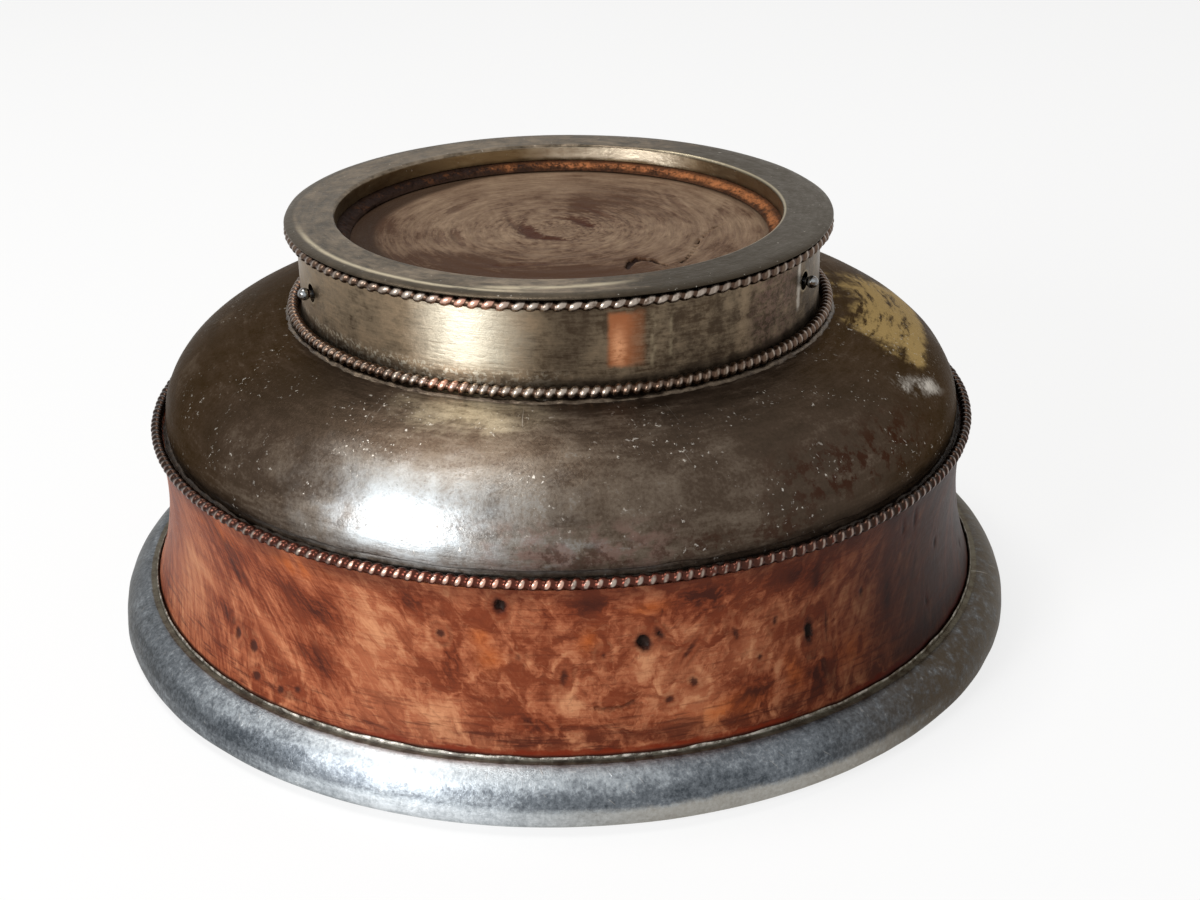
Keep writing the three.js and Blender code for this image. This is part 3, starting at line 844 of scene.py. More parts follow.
# The burr wood's figure. Each feature is (bearing in degrees, height in mm, half width, half
# height in mm, lean in degrees).
PITS = [
    (-6.6, 26.9, 0.6, 0.85, 0), (10.5, 21.3, 0.75, 0.95, 30), (12.4, 22.2, 0.2, 0.4, 30),
    (32.8, 17.9, 0.5, 1.2, 0),
]
EYES = [
    (-45.6, 13.8, 0.5, 0.7, 0), (-42.2, 13.3, 0.65, 0.7, 20), (-41.0, 9.8, 0.6, 0.45, 0),
    (-33.8, 10.4, 0.4, 0.4, 0), (-36.5, 9.6, 0.4, 0.45, 0), (-14.0, 22.3, 0.42, 0.5, 20),
    (0.8, 17.2, 0.35, 0.7, -10), (16.3, 19.5, 0.16, 0.8, -38), (16.7, 15.1, 0.35, 0.5, 40),
    (13.5, 13.4, 0.45, 0.4, 0), (22.3, 20.3, 0.25, 0.65, 20), (27.8, 20.7, 0.25, 0.45, 0),
    (35.7, 17.7, 0.13, 1.0, 0), (50.4, 26.1, 0.2, 1.0, 15), (53.5, 25.9, 0.28, 1.4, 12),
    (61.3, 19.1, 0.45, 0.6, 0), (56.9, 12.7, 0.25, 0.5, 0), (42.0, 20.2, 0.25, 0.5, 0),
    (-4.6, 19.8, 0.2, 0.25, 0), (5.6, 19.9, 0.2, 0.3, 0), (25.5, 16.4, 0.22, 0.3, 0),
]
AMBER_PATCHES = [
    (-9.1, 22.4, 1.1, 1.2, 0), (3.9, 22.0, 1.1, 1.5, -25), (11.0, 25.9, 2.0, 0.9, 10),
    (30.1, 13.4, 1.0, 2.2, 15), (-34.0, 27.4, 4.0, 1.3, 0), (40.0, 13.2, 2.6, 1.8, 0),
    (-50.0, 27.2, 4.5, 1.6, 0), (-8.0, 19.5, 1.4, 1.5, 0), (20.0, 10.8, 4.5, 1.5, 0),
]
PALE_CLOUDS = [
    (-23.0, 19.0, 4.0, 8.5, 0), (-38.5, 16.2, 8.0, 0.9, -32), (-60.0, 15.0, 5.0, 7.0, 0),
    (-55.0, 18.5, 4.5, 1.0, -10), (1.5, 14.0, 1.8, 2.0, 0), (10.2, 19.0, 1.0, 3.0, 10),
    (17.0, 12.5, 4.0, 3.0, 0), (24.0, 18.0, 2.5, 3.0, 0), (-15.0, 11.0, 4.0, 2.5, 0),
    (-17.9, 23.2, 0.8, 0.7, 0), (27.8, 13.8, 0.4, 2.5, -10),
]
DARK_CLOUDS = [
    (-31.0, 15.0, 3.5, 1.4, -30), (-17.8, 26.3, 2.0, 1.3, 0), (-13.2, 18.3, 1.4, 2.8, 0),
    (24.3, 12.2, 3.4, 2.9, 15), (34.0, 12.0, 3.0, 3.0, 0), (34.0, 24.3, 1.0, 1.3, 0),
    (47.3, 17.8, 0.8, 3.6, 0), (4.5, 27.0, 2.6, 1.4, 0), (-31.5, 22.5, 5.0, 2.2, -15),
    (18.0, 26.6, 4.0, 1.8, 0), (31.0, 26.5, 5.0, 1.6, 0), (-2.5, 11.6, 4.0, 1.2, 0),
    (-46.0, 22.0, 3.5, 1.2, -25), (57.0, 10.0, 4.0, 1.2, 0), (-49.0, 15.8, 3.0, 1.2, -20),
    (15.5, 25.2, 3.6, 1.8, 0), (-46.0, 25.6, 6.0, 2.0, -15), (0.5, 25.5, 2.0, 1.6, 0),
]
BAND_CRACKS = [
    [(4.6, 13.2, 0.03), (6.2, 12.9, 0.06), (8.0, 13.1, 0.04), (8.9, 13.6, 0.1),
     (10.3, 13.5, 0.02)],
]

# How many features the far side has, and the bearing at which the front's list ends
BACK_PITS, BACK_EYES, BACK_CLOUDS = 5, 34, 22
FRONT_SPAN = 66

# How deep the marks go, the height of slow waves and turned rings, and how much the edges of
# spots wander in mm
EYE_DEPTH = 0.12 * MM
PIT_DEPTH = 0.7 * MM
CRACK_DEPTH = 0.3 * MM
KNOT_DEPTH = 0.22 * MM
SPLIT_DEPTH = 0.5 * MM
RIPPLE = 0.05 * MM
SPOT_RAGGEDNESS = 0.14
RING_FREQUENCY = 2.1

# Where the walls of a pit and the like start and end, in mm inwards from its edge
PIT_WALL = (-0.12, 0.35)
EYE_WALL = (-0.3, 0.2)
CRACK_WALL = (-0.3, 0)
KNOT_WALL = (-0.5, 0.3)
SPLIT_WALL = (-0.16, 0)

# How far the grain falls away from its middle to the sides, in mm, and where that middle is
GRAIN_FALL = 85
GRAIN_MIDDLE = math.radians(8)

# The recessed base, in mm from its middle: right and away from the front
BASE_KNOTS = [
    (-4.6, -0.4, 0.9, 1.6, 10), (-3.6, -2.4, 0.8, 1.6, 35), (-5.2, 1.4, 0.35, 1.3, 10),
    (-1.8, -3.9, 1.5, 0.3, -15), (1.6, 4.9, 1.2, 0.35, -10), (2.8, 3.4, 0.5, 1.6, 35),
    (3.8, 1.9, 0.9, 0.5, -40), (5.6, 7.2, 0.2, 1.4, 35), (6.2, 6.2, 0.15, 1.1, 40),
    (-14.8, 10.9, 0.5, 1.8, -25), (-14.3, -3.2, 0.3, 1.3, 15), (-16.6, -2.9, 0.25, 1.2, 10),
    (-4.9, -15.2, 1.8, 0.3, 5), (16.9, 12.3, 0.2, 1.2, 15), (-6.8, 3.2, 0.2, 1.4, 15),
    (23.4, 8.0, 0.2, 1.0, -10),
]
# Darker patches on the base; the long one at its left edge is painted shadow
BASE_SHADES = [
    (-12.0, -16.5, 12, 5, -25), (4.0, -19.0, 10, 4, 10), (10.0, 14.0, 6, 8, 0),
    (3.0, 11.0, 3, 5, 0), (-27.0, 2.0, 4, 16, 0),
]
BASE_CRACKS = [
    [(9.2, -16.8, 0.2), (9.8, -14.4, 0.5), (10.8, -13.3, 0.55), (12.6, -13.9, 0.4),
     (14.4, -16.1, 0.08)],
    [(23.5, 2.4, -0.06), (21.8, 0.2, 0.0), (20.4, -2.6, -0.03), (19.0, -6.3, 0.02),
     (18.4, -9.8, -0.03), (17.2, -13.4, 0.04), (16.4, -14.6, 0.2)],
]


def spot_places(across, up, spots):
    """For each leaning ellipse, every point's place along it and over it in half sizes, and the
    smaller half size in mm."""
    for middle_across, middle_up, half_across, half_up, lean in spots:
        side, rise = across - middle_across, up - middle_up
        turn = math.radians(lean)
        along = side * math.cos(turn) + rise * math.sin(turn)
        over = rise * math.cos(turn) - side * math.sin(turn)
        yield along / half_across, over / half_up, min(half_across, half_up)


def spot_distance(across, up, spots):
    """Signed distance in mm to the nearest of some leaning ellipses, negative inside."""
    nearest = np.full(across.shape, FAR_IN_MM)
    for along, over, half in spot_places(across, up, spots):
        nearest = np.minimum(nearest, (np.hypot(along, over) - 1) * half)
    return nearest


def spot_sum(across, up, spots):
    """Soft hills of height 1 over some leaning ellipses, added up."""
    return sum(np.exp(-along**2 - over**2) for along, over, _ in spot_places(across, up, spots))


def crack_distance(across, up, cracks):
    """Distance in mm from the edge of the nearest broken line of (across, up, half width)."""
    nearest = np.full(across.shape, FAR_IN_MM)
    for start, end in [pair for crack in cracks for pair in zip(crack, crack[1:])]:
        run, climb, widening = np.subtract(end, start)
        side, rise = across - start[0], up - start[1]
        share = np.clip((side * run + rise * climb) / (run**2 + climb**2), 0, 1)
        gap = np.hypot(side - share * run, rise - share * climb)
        nearest = np.minimum(nearest, gap - start[2] - share * widening)
    return nearest


def unrolled(spots):
    """Band features with their bearing turned into mm round the band."""
    return [(spot[0] * MM_PER_DEGREE, *spot[1:]) for spot in spots]


def back_spots(seed, count, least, most):
    """Features for the far side of the band, where the front's list says nothing."""
    draw = np.random.default_rng(seed)
    spots = []
    for _ in range(count):
        bearing = draw.uniform(FRONT_SPAN + 4, 356 - FRONT_SPAN)
        bearing = bearing - 360 if bearing > 180 else bearing
        half_across = draw.uniform(least, most)
        half_up = half_across * draw.uniform(0.7, 2.2)
        spots.append((bearing, draw.uniform(10, 27), half_across, half_up, draw.uniform(-30, 30)))
    return spots


def band_features():
    """Everything in the band's figure, in mm round it and up it."""
    return {
        "pits": unrolled(PITS + back_spots(10, BACK_PITS, 0.4, 0.8)),
        "eyes": unrolled(EYES + back_spots(11, BACK_EYES, 0.15, 0.5)),
        "amber": unrolled(AMBER_PATCHES + back_spots(12, BACK_CLOUDS // 2, 1.0, 3.0)),
        "pale": unrolled(PALE_CLOUDS + back_spots(13, BACK_CLOUDS, 1.5, 5.0)),
        "dark": unrolled(DARK_CLOUDS + back_spots(14, BACK_CLOUDS, 1.5, 4.5)),
        "cracks": [unrolled(crack) for crack in BAND_CRACKS],
    }


def grain_height(bearing, across, up, eyes):
    """Each point's place across the grain, in mm. The grain falls away on both sides of its
    middle, ever steeper, and runs round each eye."""
    crossing = up + GRAIN_FALL * np.cos(bearing - GRAIN_MIDDLE)
    for middle_across, middle_up, half_across, half_up, _ in eyes:
        side, rise = across - middle_across, up - middle_up
        reach = 1.2 + 2.2 * min(half_across, half_up)
        push = np.exp(-(side**2 + rise**2) / reach**2) * 1.3
        crossing = crossing + push * np.sign(rise) * (1 - np.exp(-np.abs(rise) * 2))
    return crossing


def wood_wall_radius(level):
    """The bare wood's radius at a height."""
    return WAIST_RADIUS + LIP_FLARE * ((level - WAIST_LEVEL) / (WAIST_LEVEL - RIM_TOP)) ** 2


BAND_ROWS = 66
BASE_ROWS = 96
WOOD_SEGMENTS = 960


def wood_outline():
    """The wooden bowl's outline, from the middle of its inside to the middle of its base."""
    wall = WAIST_RADIUS - WALL_THICKNESS
    inside = arc(
        (FLOOR_RADIUS, SPRING_HEIGHT), (wall - FLOOR_RADIUS, CAVITY - SPRING_HEIGHT), 90, 0, 14)
    levels = np.linspace(RIM_TOP, BORDER, BAND_ROWS + 1)
    band = np.stack([wood_wall_radius(levels), levels], axis=1)
    seat = SHELL_GAUGE + SEAT_GAP
    under_shell = arc(
        (COLLAR_INNER, SKIRT_TOP),
        (SHELL_RADIUS - COLLAR_INNER - seat, CROWN - SKIRT_TOP - seat), 0, 90, 8)
    edge = FLANGE_LEVEL - SEAT_GAP
    disc = line((RECESS_RADIUS, BASE_LEVEL), (0.4 * MM, BASE_LEVEL), BASE_ROWS)
    return outline(
        (0, CAVITY), inside, (LIP_INNER, LIP_SEAT), (LIP_RADIUS, LIP_SEAT),
        line((LIP_RADIUS, LIP_SEAT + 0.4 * MM), (LIP_RADIUS, RIM_TOP - 0.4 * MM), 2), band,
        (SHELL_RADIUS - seat, BORDER), under_shell, (WOOD_FOOT, CROWN), (WOOD_FOOT, edge),
        (RECESS_RADIUS, edge), disc, (0, BASE_LEVEL))


def make_wood():
    features = band_features()

    def marks(radius, height, bearing):
        """Distances in mm to the nearest pit, eye and crack of the band, which have ragged edges,
        and to the nearest knot and crack of the base."""
        across, up = degrees_apart(bearing, 0) * MM_PER_DEGREE, height / MM
        right, away = radius * np.sin(bearing) / MM, -radius * np.cos(bearing) / MM
        ragged = SPOT_RAGGEDNESS * crumb(radius, height, bearing, 0.9 * MM, 9)
        return (
            spot_distance(across, up, features["pits"]) + ragged,
            spot_distance(across, up, features["eyes"]) + ragged,
            crack_distance(across, up, features["cracks"]),
            spot_distance(right, away, BASE_KNOTS), crack_distance(right, away, BASE_CRACKS))

    def relief(radius, height, bearing):
        on_band = (height > RIM_TOP - SEAT_GAP) & (height < BORDER + SEAT_GAP)
        on_band &= radius > WAIST_RADIUS - SEAT_GAP
        on_base = np.abs(height - BASE_LEVEL) < SEAT_GAP
        pit, eye, crack, knot, split = marks(radius, height, bearing)
        sink = PIT_DEPTH * smoothstep(-pit, *PIT_WALL)
        sink = np.maximum(sink, EYE_DEPTH * smoothstep(-eye, *EYE_WALL))
        sink = np.maximum(sink, CRACK_DEPTH * smoothstep(-crack, *CRACK_WALL))
        uneven = RIPPLE * swell(bearing, height, 5, (3, 5, 9, 14), 24 * MM)
        hollow = KNOT_DEPTH * smoothstep(-knot, *KNOT_WALL)
        hollow = np.maximum(hollow, SPLIT_DEPTH * smoothstep(-split, *SPLIT_WALL))
        rings = RIPPLE * np.sin(radius / MM * RING_FREQUENCY + 0.8 * np.sin(bearing))
        radius = np.where(on_band, radius - sink + uneven, radius)
        return radius, np.where(on_base, height - hollow + rings - RIPPLE, height)

    piece = turned("burr_wood_bowl", wood_outline(), WOOD_SEGMENTS, relief, smooth_angle=55)
    x, y, z, radius, bearing = points_of(piece)
    right, away, up, turn = x / MM, y / MM, z / MM, np.degrees(bearing)
    across = turn * MM_PER_DEGREE
    on_base = up > BASE_LEVEL / MM - 1
    pit, eye, crack, knot, split = marks(radius, z, bearing)
    tone = spot_sum(across, up, features["pale"]) - spot_sum(across, up, features["dark"])
    crossing = grain_height(bearing, across, up, features["pits"] + features["eyes"])
    front_burr = smoothstep(turn, -34, -12) * smoothstep(turn, 56, 38)
    back_burr = smoothstep(np.abs(turn), 80, 110) * (0.5 + 0.5 * np.cos(4 * bearing))
    eye_burr = np.exp(-(np.maximum(eye, 0) / 2.4) ** 2)
    add_values(
        piece, pit=pit, eye=np.where(on_base, knot, np.minimum(eye, pit)),
        burr=np.maximum(np.maximum(front_burr, back_burr), eye_burr),
        crack=np.where(on_base, split, crack),
        tone=np.where(on_base, -spot_sum(right, away, BASE_SHADES), tone),
        amber=np.clip(spot_sum(across, up, features["amber"]), 0, 1),
        grey=smoothstep(turn, 36, 62) * smoothstep(turn, 170, 130))
    figure = np.stack([right, away, crossing], axis=1)
    attribute = piece.data.attributes.new("figure", "FLOAT_VECTOR", "POINT")
    attribute.data.foreach_set("vector", figure.astype(np.float32).ravel())
    place(piece, burr_material(), "burr_wood", "wooden_bowl")
    piece.data.materials.append(base_material())
    middles = np.zeros(len(piece.data.polygons) * 3)
    piece.data.polygons.foreach_get("center", middles)
    x, y, z = middles.reshape(-1, 3).T
    in_recess = (z > BASE_LEVEL - MM) & (np.hypot(x, y) < RECESS_RADIUS + SEAT_GAP)
    piece.data.polygons.foreach_set("material_index", in_recess.astype(np.int32))


def make_liner():
    wall = WAIST_RADIUS - WALL_THICKNESS

    def curve(inset, start, end):
        return arc(
            (FLOOR_RADIUS, SPRING_HEIGHT),
            (wall - FLOOR_RADIUS - inset, CAVITY - SPRING_HEIGHT - inset), start, end, 40)

    outer, inner = SEAT_GAP, SEAT_GAP + LINER_GAUGE
    profile = outline(
        (0, CAVITY - inner), curve(inner, 90, 0), (LIP_INNER - inner, LIP_SEAT),
        (LIP_INNER - outer, LIP_SEAT), curve(outer, 0, 90), (0, CAVITY - outer))

    def relief(radius, height, bearing):
        uneven = LINER_WAVE * swell(bearing, height, 21, (2, 3, 5), 30 * MM)
        return radius + np.where(height > 5 * MM, uneven, 0), height

    piece = turned("bowl_liner_silver", profile, 256, relief)
    place(piece, liner_material(), "liner_silver", "bowl_liner")


LIP_RIDGE = 0.24 * MM
LIP_WAVE = 0.1 * MM
LINER_WAVE = 0.04 * MM
RIM_SINK = 0.1 * MM
RIM_DENTS = 0.04 * MM
RIM_LUMPS = 0.06 * MM


def make_rim():
    inner = LIP_INNER - SEAT_GAP - LINER_GAUGE - SEAT_GAP
    land_outer = RIM_RADIUS - LAND_INSET
    seat = LIP_RADIUS + SEAT_GAP
    profile = outline(
        (inner, RIM_HEM), line((land_outer - LAND_WIDTH, 0), (land_outer, 0), 2),
        arc((land_outer, BELLY_HEIGHT), (LAND_INSET, BELLY_HEIGHT), -90, 0, 12),
        arc((LEDGE_RADIUS, BELLY_HEIGHT),
            (RIM_BULGE, RIM_TOP - BELLY_HEIGHT - 0.05 * MM), 0, 79, 26),
        (LEDGE_RADIUS + 0.66 * MM, RIM_TOP - 0.14 * MM),
        (LEDGE_RADIUS + 0.5 * MM, RIM_TOP - 0.13 * MM),
        line((LEDGE_RADIUS + 0.4 * MM, RIM_TOP - 0.15 * MM),
             (seat + 0.36 * MM, RIM_TOP - 0.12 * MM), 4),
        arc((seat + 0.16 * MM, RIM_TOP + 0.1 * MM), (0.15 * MM, LIP_RIDGE), 0, 180, 6),
        (seat, RIM_TOP - 0.5 * MM), (seat, LIP_SEAT - SEAT_GAP), (inner, LIP_SEAT - SEAT_GAP))

    def relief(radius, height, bearing):
        outside = smoothstep(radius, LEDGE_RADIUS - 0.2 * MM, LEDGE_RADIUS + MM)
        outside = outside * smoothstep(height, 0.1 * MM, 1.5 * MM)
        dents = swell(bearing, height, 31, (3, 4, 7, 11, 17, 23, 31), 9 * MM)
        fine = crumb(radius, height, bearing, 4 * MM, 3)
        radius = radius - outside * (RIM_SINK + RIM_DENTS * dents + RIM_LUMPS * fine)
        on_edge = (radius < LEDGE_RADIUS) & (height > RIM_TOP - 0.3 * MM)
        lift = LIP_WAVE * swell(bearing, height * 0, 33, (7, 13, 29, 47, 83), MM)
        lift = np.clip(lift, -2 * LIP_WAVE, 2 * LIP_WAVE)
        height = np.where(on_edge & (height > RIM_TOP), height + lift, height)
        return radius, height

    piece = turned("rim_mount_silver", profile, 720, relief)
    place(piece, rim_material(), "rim_silver", "rim_mount")


CHANNEL_DEPTH = 0.16 * MM
CHANNEL_TOP = SKIRT_TOP - 0.25 * MM
DOME_DENTS = 0.05 * MM
DOME_LUMPS = 0.09 * MM
SKIRT_WAVE = 0.1 * MM
SKIRT_SINK = 0.03 * MM


def make_shell():
    centre = (COLLAR_INNER, SKIRT_TOP)
    reach, rise = SHELL_RADIUS - COLLAR_INNER, CROWN - SKIRT_TOP
    channel = SHELL_RADIUS - CHANNEL_DEPTH
    inside = arc(centre, (reach - SHELL_GAUGE, rise - SHELL_GAUGE), 90, 0, 10)
    edge = 0.14 * MM
    profile = outline(
        (SHELL_RADIUS - SHELL_GAUGE, SHELL_BASE), (channel, SHELL_BASE),
        line((channel, SHELL_BASE + 0.3 * MM), (channel, CHANNEL_TOP - 0.1 * MM), 5),
        arc((SHELL_RADIUS - edge, CHANNEL_TOP + edge), (edge, edge), -90, 0, 4),
        arc(centre, (reach, rise), 0, 90, 58), inside)

    def relief(radius, height, bearing):
        outer = (radius - COLLAR_INNER) ** 2 / reach**2 + (
            np.maximum(height - SKIRT_TOP, 0) / rise) ** 2 > 0.97
        up_the_dome = smoothstep(height, SKIRT_TOP, SKIRT_TOP + 2 * MM)
        fade = up_the_dome * smoothstep(radius, COLLAR_RADIUS + MM, COLLAR_RADIUS + 5 * MM)
        dents = swell(bearing, height, 41, (2, 3, 5, 8, 12), 16 * MM)
        fine = crumb(radius, height, bearing, 7 * MM, 6)
        push = outer * fade * (DOME_DENTS * dents + DOME_LUMPS * fine)
        low_edge = smoothstep(height, CHANNEL_TOP - 0.1 * MM, CHANNEL_TOP)
        low_edge = outer * (1 - up_the_dome) * low_edge
        wave = swell(bearing, height, 42, (11, 19, 31, 47), 50 * MM)
        radius = radius + push - np.where(low_edge > 0, SKIRT_SINK * np.abs(wave), 0)
        near_edge = np.abs(height - CHANNEL_TOP) < 0.45 * MM
        height = np.where(outer & near_edge, height + SKIRT_WAVE * wave, height)
        return radius, height

    piece = turned("calyx_shell_silver", profile, 512, relief)
    place(piece, shell_material(), "calyx_silver", "calyx_shell")


# The collar's solder seams: the bearing in degrees and how far each one wanders
SEAMS = ((19.3, 0.5), (23.2, 0.35))
SEAM_HALF_WIDTH = 0.22
SEAM_HEIGHT = 0.09 * MM
HOLE_BURR = 0.12 * MM
COLLAR_DENTS = 0.05 * MM
DRILL_SIDES = 28


def pin_place(node):
    """A pin's bearing in radians and its height, from its CAD node."""
    low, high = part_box(node)
    middle = (low + high) / 2
    return math.atan2(middle.x, -middle.y), middle.z


def hole_distance(radius, height, bearing):
    """Distance in mm from the edge of the nearest pin hole."""
    nearest = np.full(np.shape(bearing), FAR_IN_MM)
    for node in PINS:
        pin_bearing, level = pin_place(node)
        side = radius * np.sin(bearing - pin_bearing)
        far = np.where(np.cos(bearing - pin_bearing) > 0, 0, FAR_IN_MM * MM)
        gap = np.hypot(side, height - level) + far - PIN_HOLE_RADIUS
        nearest = np.minimum(nearest, gap / MM)
    return nearest


def seam_ridge(height, bearing):
    """1 along the collar's two solder seams, which wander a little, and 0 away from them."""
    level = height / MM
    total = np.zeros(np.shape(bearing))
    for middle, wander in SEAMS:
        middle = middle + wander * (np.sin(level * 1.9 + middle) + 0.5 * np.sin(level * 4.3)) * 0.5
        side = degrees_apart(bearing, middle)
        total += np.exp(-(side / SEAM_HALF_WIDTH) ** 2)
    ends = smoothstep(level, 47.6, 48.2) * smoothstep(level, 55.2, 54.4)
    return total * ends


def make_collar():
    spread = collar_high.x - COLLAR_RADIUS
    profile = outline(
        (COLLAR_INNER, COLLAR_BASE),
        arc((COLLAR_RADIUS + spread, COLLAR_BASE + COLLAR_SPREAD_HEIGHT),
            (-spread, -COLLAR_SPREAD_HEIGHT), 90, 0, 8),
        line((COLLAR_RADIUS, COLLAR_BASE + COLLAR_SPREAD_HEIGHT), (COLLAR_RADIUS, COLLAR_TOP), 34),
        line((COLLAR_INNER, COLLAR_TOP), (COLLAR_INNER, COLLAR_BASE), 4)[:-1])

    def relief(radius, height, bearing):
        outer = radius > COLLAR_RADIUS - SEAT_GAP
        dents = COLLAR_DENTS * swell(bearing, height, 51, (3, 4, 6, 9, 13), 20 * MM)
        seam = SEAM_HEIGHT * seam_ridge(height, bearing)
        from_hole = hole_distance(radius, height, bearing)
        burr = HOLE_BURR * np.exp(-((from_hole - 0.15) / 0.22) ** 2)
        return np.where(outer, radius + dents + seam + burr, radius), height

    piece = turned("foot_collar_silver", profile, 640, relief)
    for node in PINS:
        bearing, level = pin_place(node)
        drill = link("drill", drill_mesh(bearing, level))
        cut = piece.modifiers.new("hole", "BOOLEAN")
        cut.operation, cut.solver, cut.object = "DIFFERENCE", "EXACT", drill
        bpy.context.view_layer.update()
        evaluated = piece.evaluated_get(bpy.context.evaluated_depsgraph_get())
        drilled = bpy.data.meshes.new_from_object(evaluated)
        piece.modifiers.clear()
        piece.data = drilled
        bpy.data.objects.remove(drill)
    piece.data.shade_smooth()
    piece.data.set_sharp_from_angle(angle=math.radians(40))
    _, _, height, radius, bearing = points_of(piece)
    add_values(
        piece, seam=seam_ridge(height, bearing), hole=hole_distance(radius, height, bearing))
    piece.data.materials.clear()
    place(piece, collar_material(), "collar_silver", "foot_collar")


def outward_from(bearing):
    """The level direction at a bearing in radians."""
    return Vector((math.sin(bearing), -math.cos(bearing), 0))


def drill_mesh(bearing, level):
    """A round bar through the collar's wall at one bearing."""
    sides = DRILL_SIDES
    outward = outward_from(bearing)
    beside = outward_from(bearing + math.pi / 2)
    turns = [2 * math.pi * side / sides for side in range(sides)]
    points = [
        outward * reach + beside * (PIN_HOLE_RADIUS * math.cos(turn))
        + Vector((0, 0, level + PIN_HOLE_RADIUS * math.sin(turn)))
        for reach in (COLLAR_INNER - MM, COLLAR_RADIUS + 2 * MM) for turn in turns]
    faces = [tuple(reversed(range(sides))), tuple(range(sides, 2 * sides))]
    for side in range(sides):
        other = (side + 1) % sides
        faces.append((other, sides + other, sides + side, side))
    mesh = bpy.data.meshes.new("drill")
    mesh.from_pydata(points, [], faces)
    return mesh


FLANGE_DIP = 0.04 * MM
FLANGE_WOBBLE = 0.05 * MM


def make_flange():
    lip_bottom = FLANGE_LEVEL - FLANGE_LIP_DEPTH
    inner_round, outer_round = 0.5 * MM, 1.8 * MM
    under_round, edge_drop = 0.14 * MM, 0.34 * MM
    profile = outline(
        (FLANGE_LIP_RADIUS, lip_bottom), (FLANGE_LIP_RADIUS, FLANGE_LEVEL),
        line((FLANGE_LIP_RADIUS + 0.2 * MM, FLANGE_LEVEL),
             (FLANGE_RADIUS - 0.1 * MM, FLANGE_LEVEL), 4),
        arc((FLANGE_RADIUS - under_round, FLANGE_LEVEL + under_round),
            (under_round, under_round), -80, 30, 5),
        arc((FLANGE_RADIUS - outer_round, FOOT_TOP - edge_drop),
            (outer_round, edge_drop), 12, 90, 12),
        line((FLANGE_RADIUS - outer_round - 0.3 * MM, FOOT_TOP),
             (FLANGE_INNER + inner_round + 0.2 * MM, FOOT_TOP), 10),
        arc((FLANGE_INNER + inner_round, FOOT_TOP - inner_round),
            (inner_round, inner_round), 90, 180, 8),
        line((FLANGE_INNER, FOOT_TOP - inner_round - 0.2 * MM), (FLANGE_INNER, lip_bottom), 6))

    def relief(radius, height, bearing):
        top = height > FLANGE_LEVEL + 0.2 * MM
        dip = FLANGE_DIP * (1.2 + swell(bearing, height, 61, (2, 3, 5, 8), MM))
        inward = smoothstep(radius, FLANGE_INNER + 3 * MM, FLANGE_INNER + MM)
        height = np.where(top, height - np.maximum(dip, 0) * (0.6 + 0.4 * inward), height)
        edge = smoothstep(radius, FLANGE_RADIUS - MM, FLANGE_RADIUS)
        wobble = FLANGE_WOBBLE * (1 + swell(bearing, height * 0, 62, (4, 7, 11, 18), MM))
        return radius - edge * np.maximum(wobble, 0), height

    piece = turned("foot_flange_silver", profile, 512, relief)
    place(piece, flange_material(), "flange_silver", "foot_flange")


LAC_CRUMBS = 0.32 * MM
LAC_WAVE = 0.18 * MM
LAC_SINK = 0.1 * MM


def make_lac():
    outer = lac_high.x
    bottom, top = lac_low.z, lac_high.z
    toe = outer - 2.5 * MM
    shoulder = outer - 1.0 * MM
    profile = outline(
        (toe, bottom), (outer, bottom), (outer, top),
        line((shoulder, top), (toe + 0.25 * MM, bottom + 0.35 * MM), 9))

    def relief(radius, height, bearing):
        inner = smoothstep(radius, outer - 0.1 * MM, outer - 0.5 * MM)
        inner = inner * smoothstep(height, bottom, bottom + 0.2 * MM)
        rough = crumb(radius, height, bearing, 1.1 * MM, 7) + 0.6 * crumb(
            radius, height, bearing, 0.45 * MM, 8)
        slow = swell(bearing, height, 71, (3, 5, 9, 14), 50 * MM)
        radius = radius + inner * (LAC_CRUMBS * rough + LAC_WAVE * slow + LAC_SINK)
        return np.minimum(radius, outer), height - inner * LAC_SINK * np.abs(rough)

    piece = turned("lac_cement_crumbs", profile, 720, relief, smooth_angle=60)
    place(piece, lac_material(), "lac_cement", "lac_cement_bead")


# The twisted wires: groove depth and unevenness are shares of the wire ring's half height, and
# the bead share is how much of its pitch a bead fills
STRAND_SIDES = 24
STEPS_PER_BEAD = 12
GROOVE_DEPTH = 0.34
BEAD_SHARE = 0.62
BEAD_UNEVEN = 0.1
PITCH_UNEVEN = 0.3


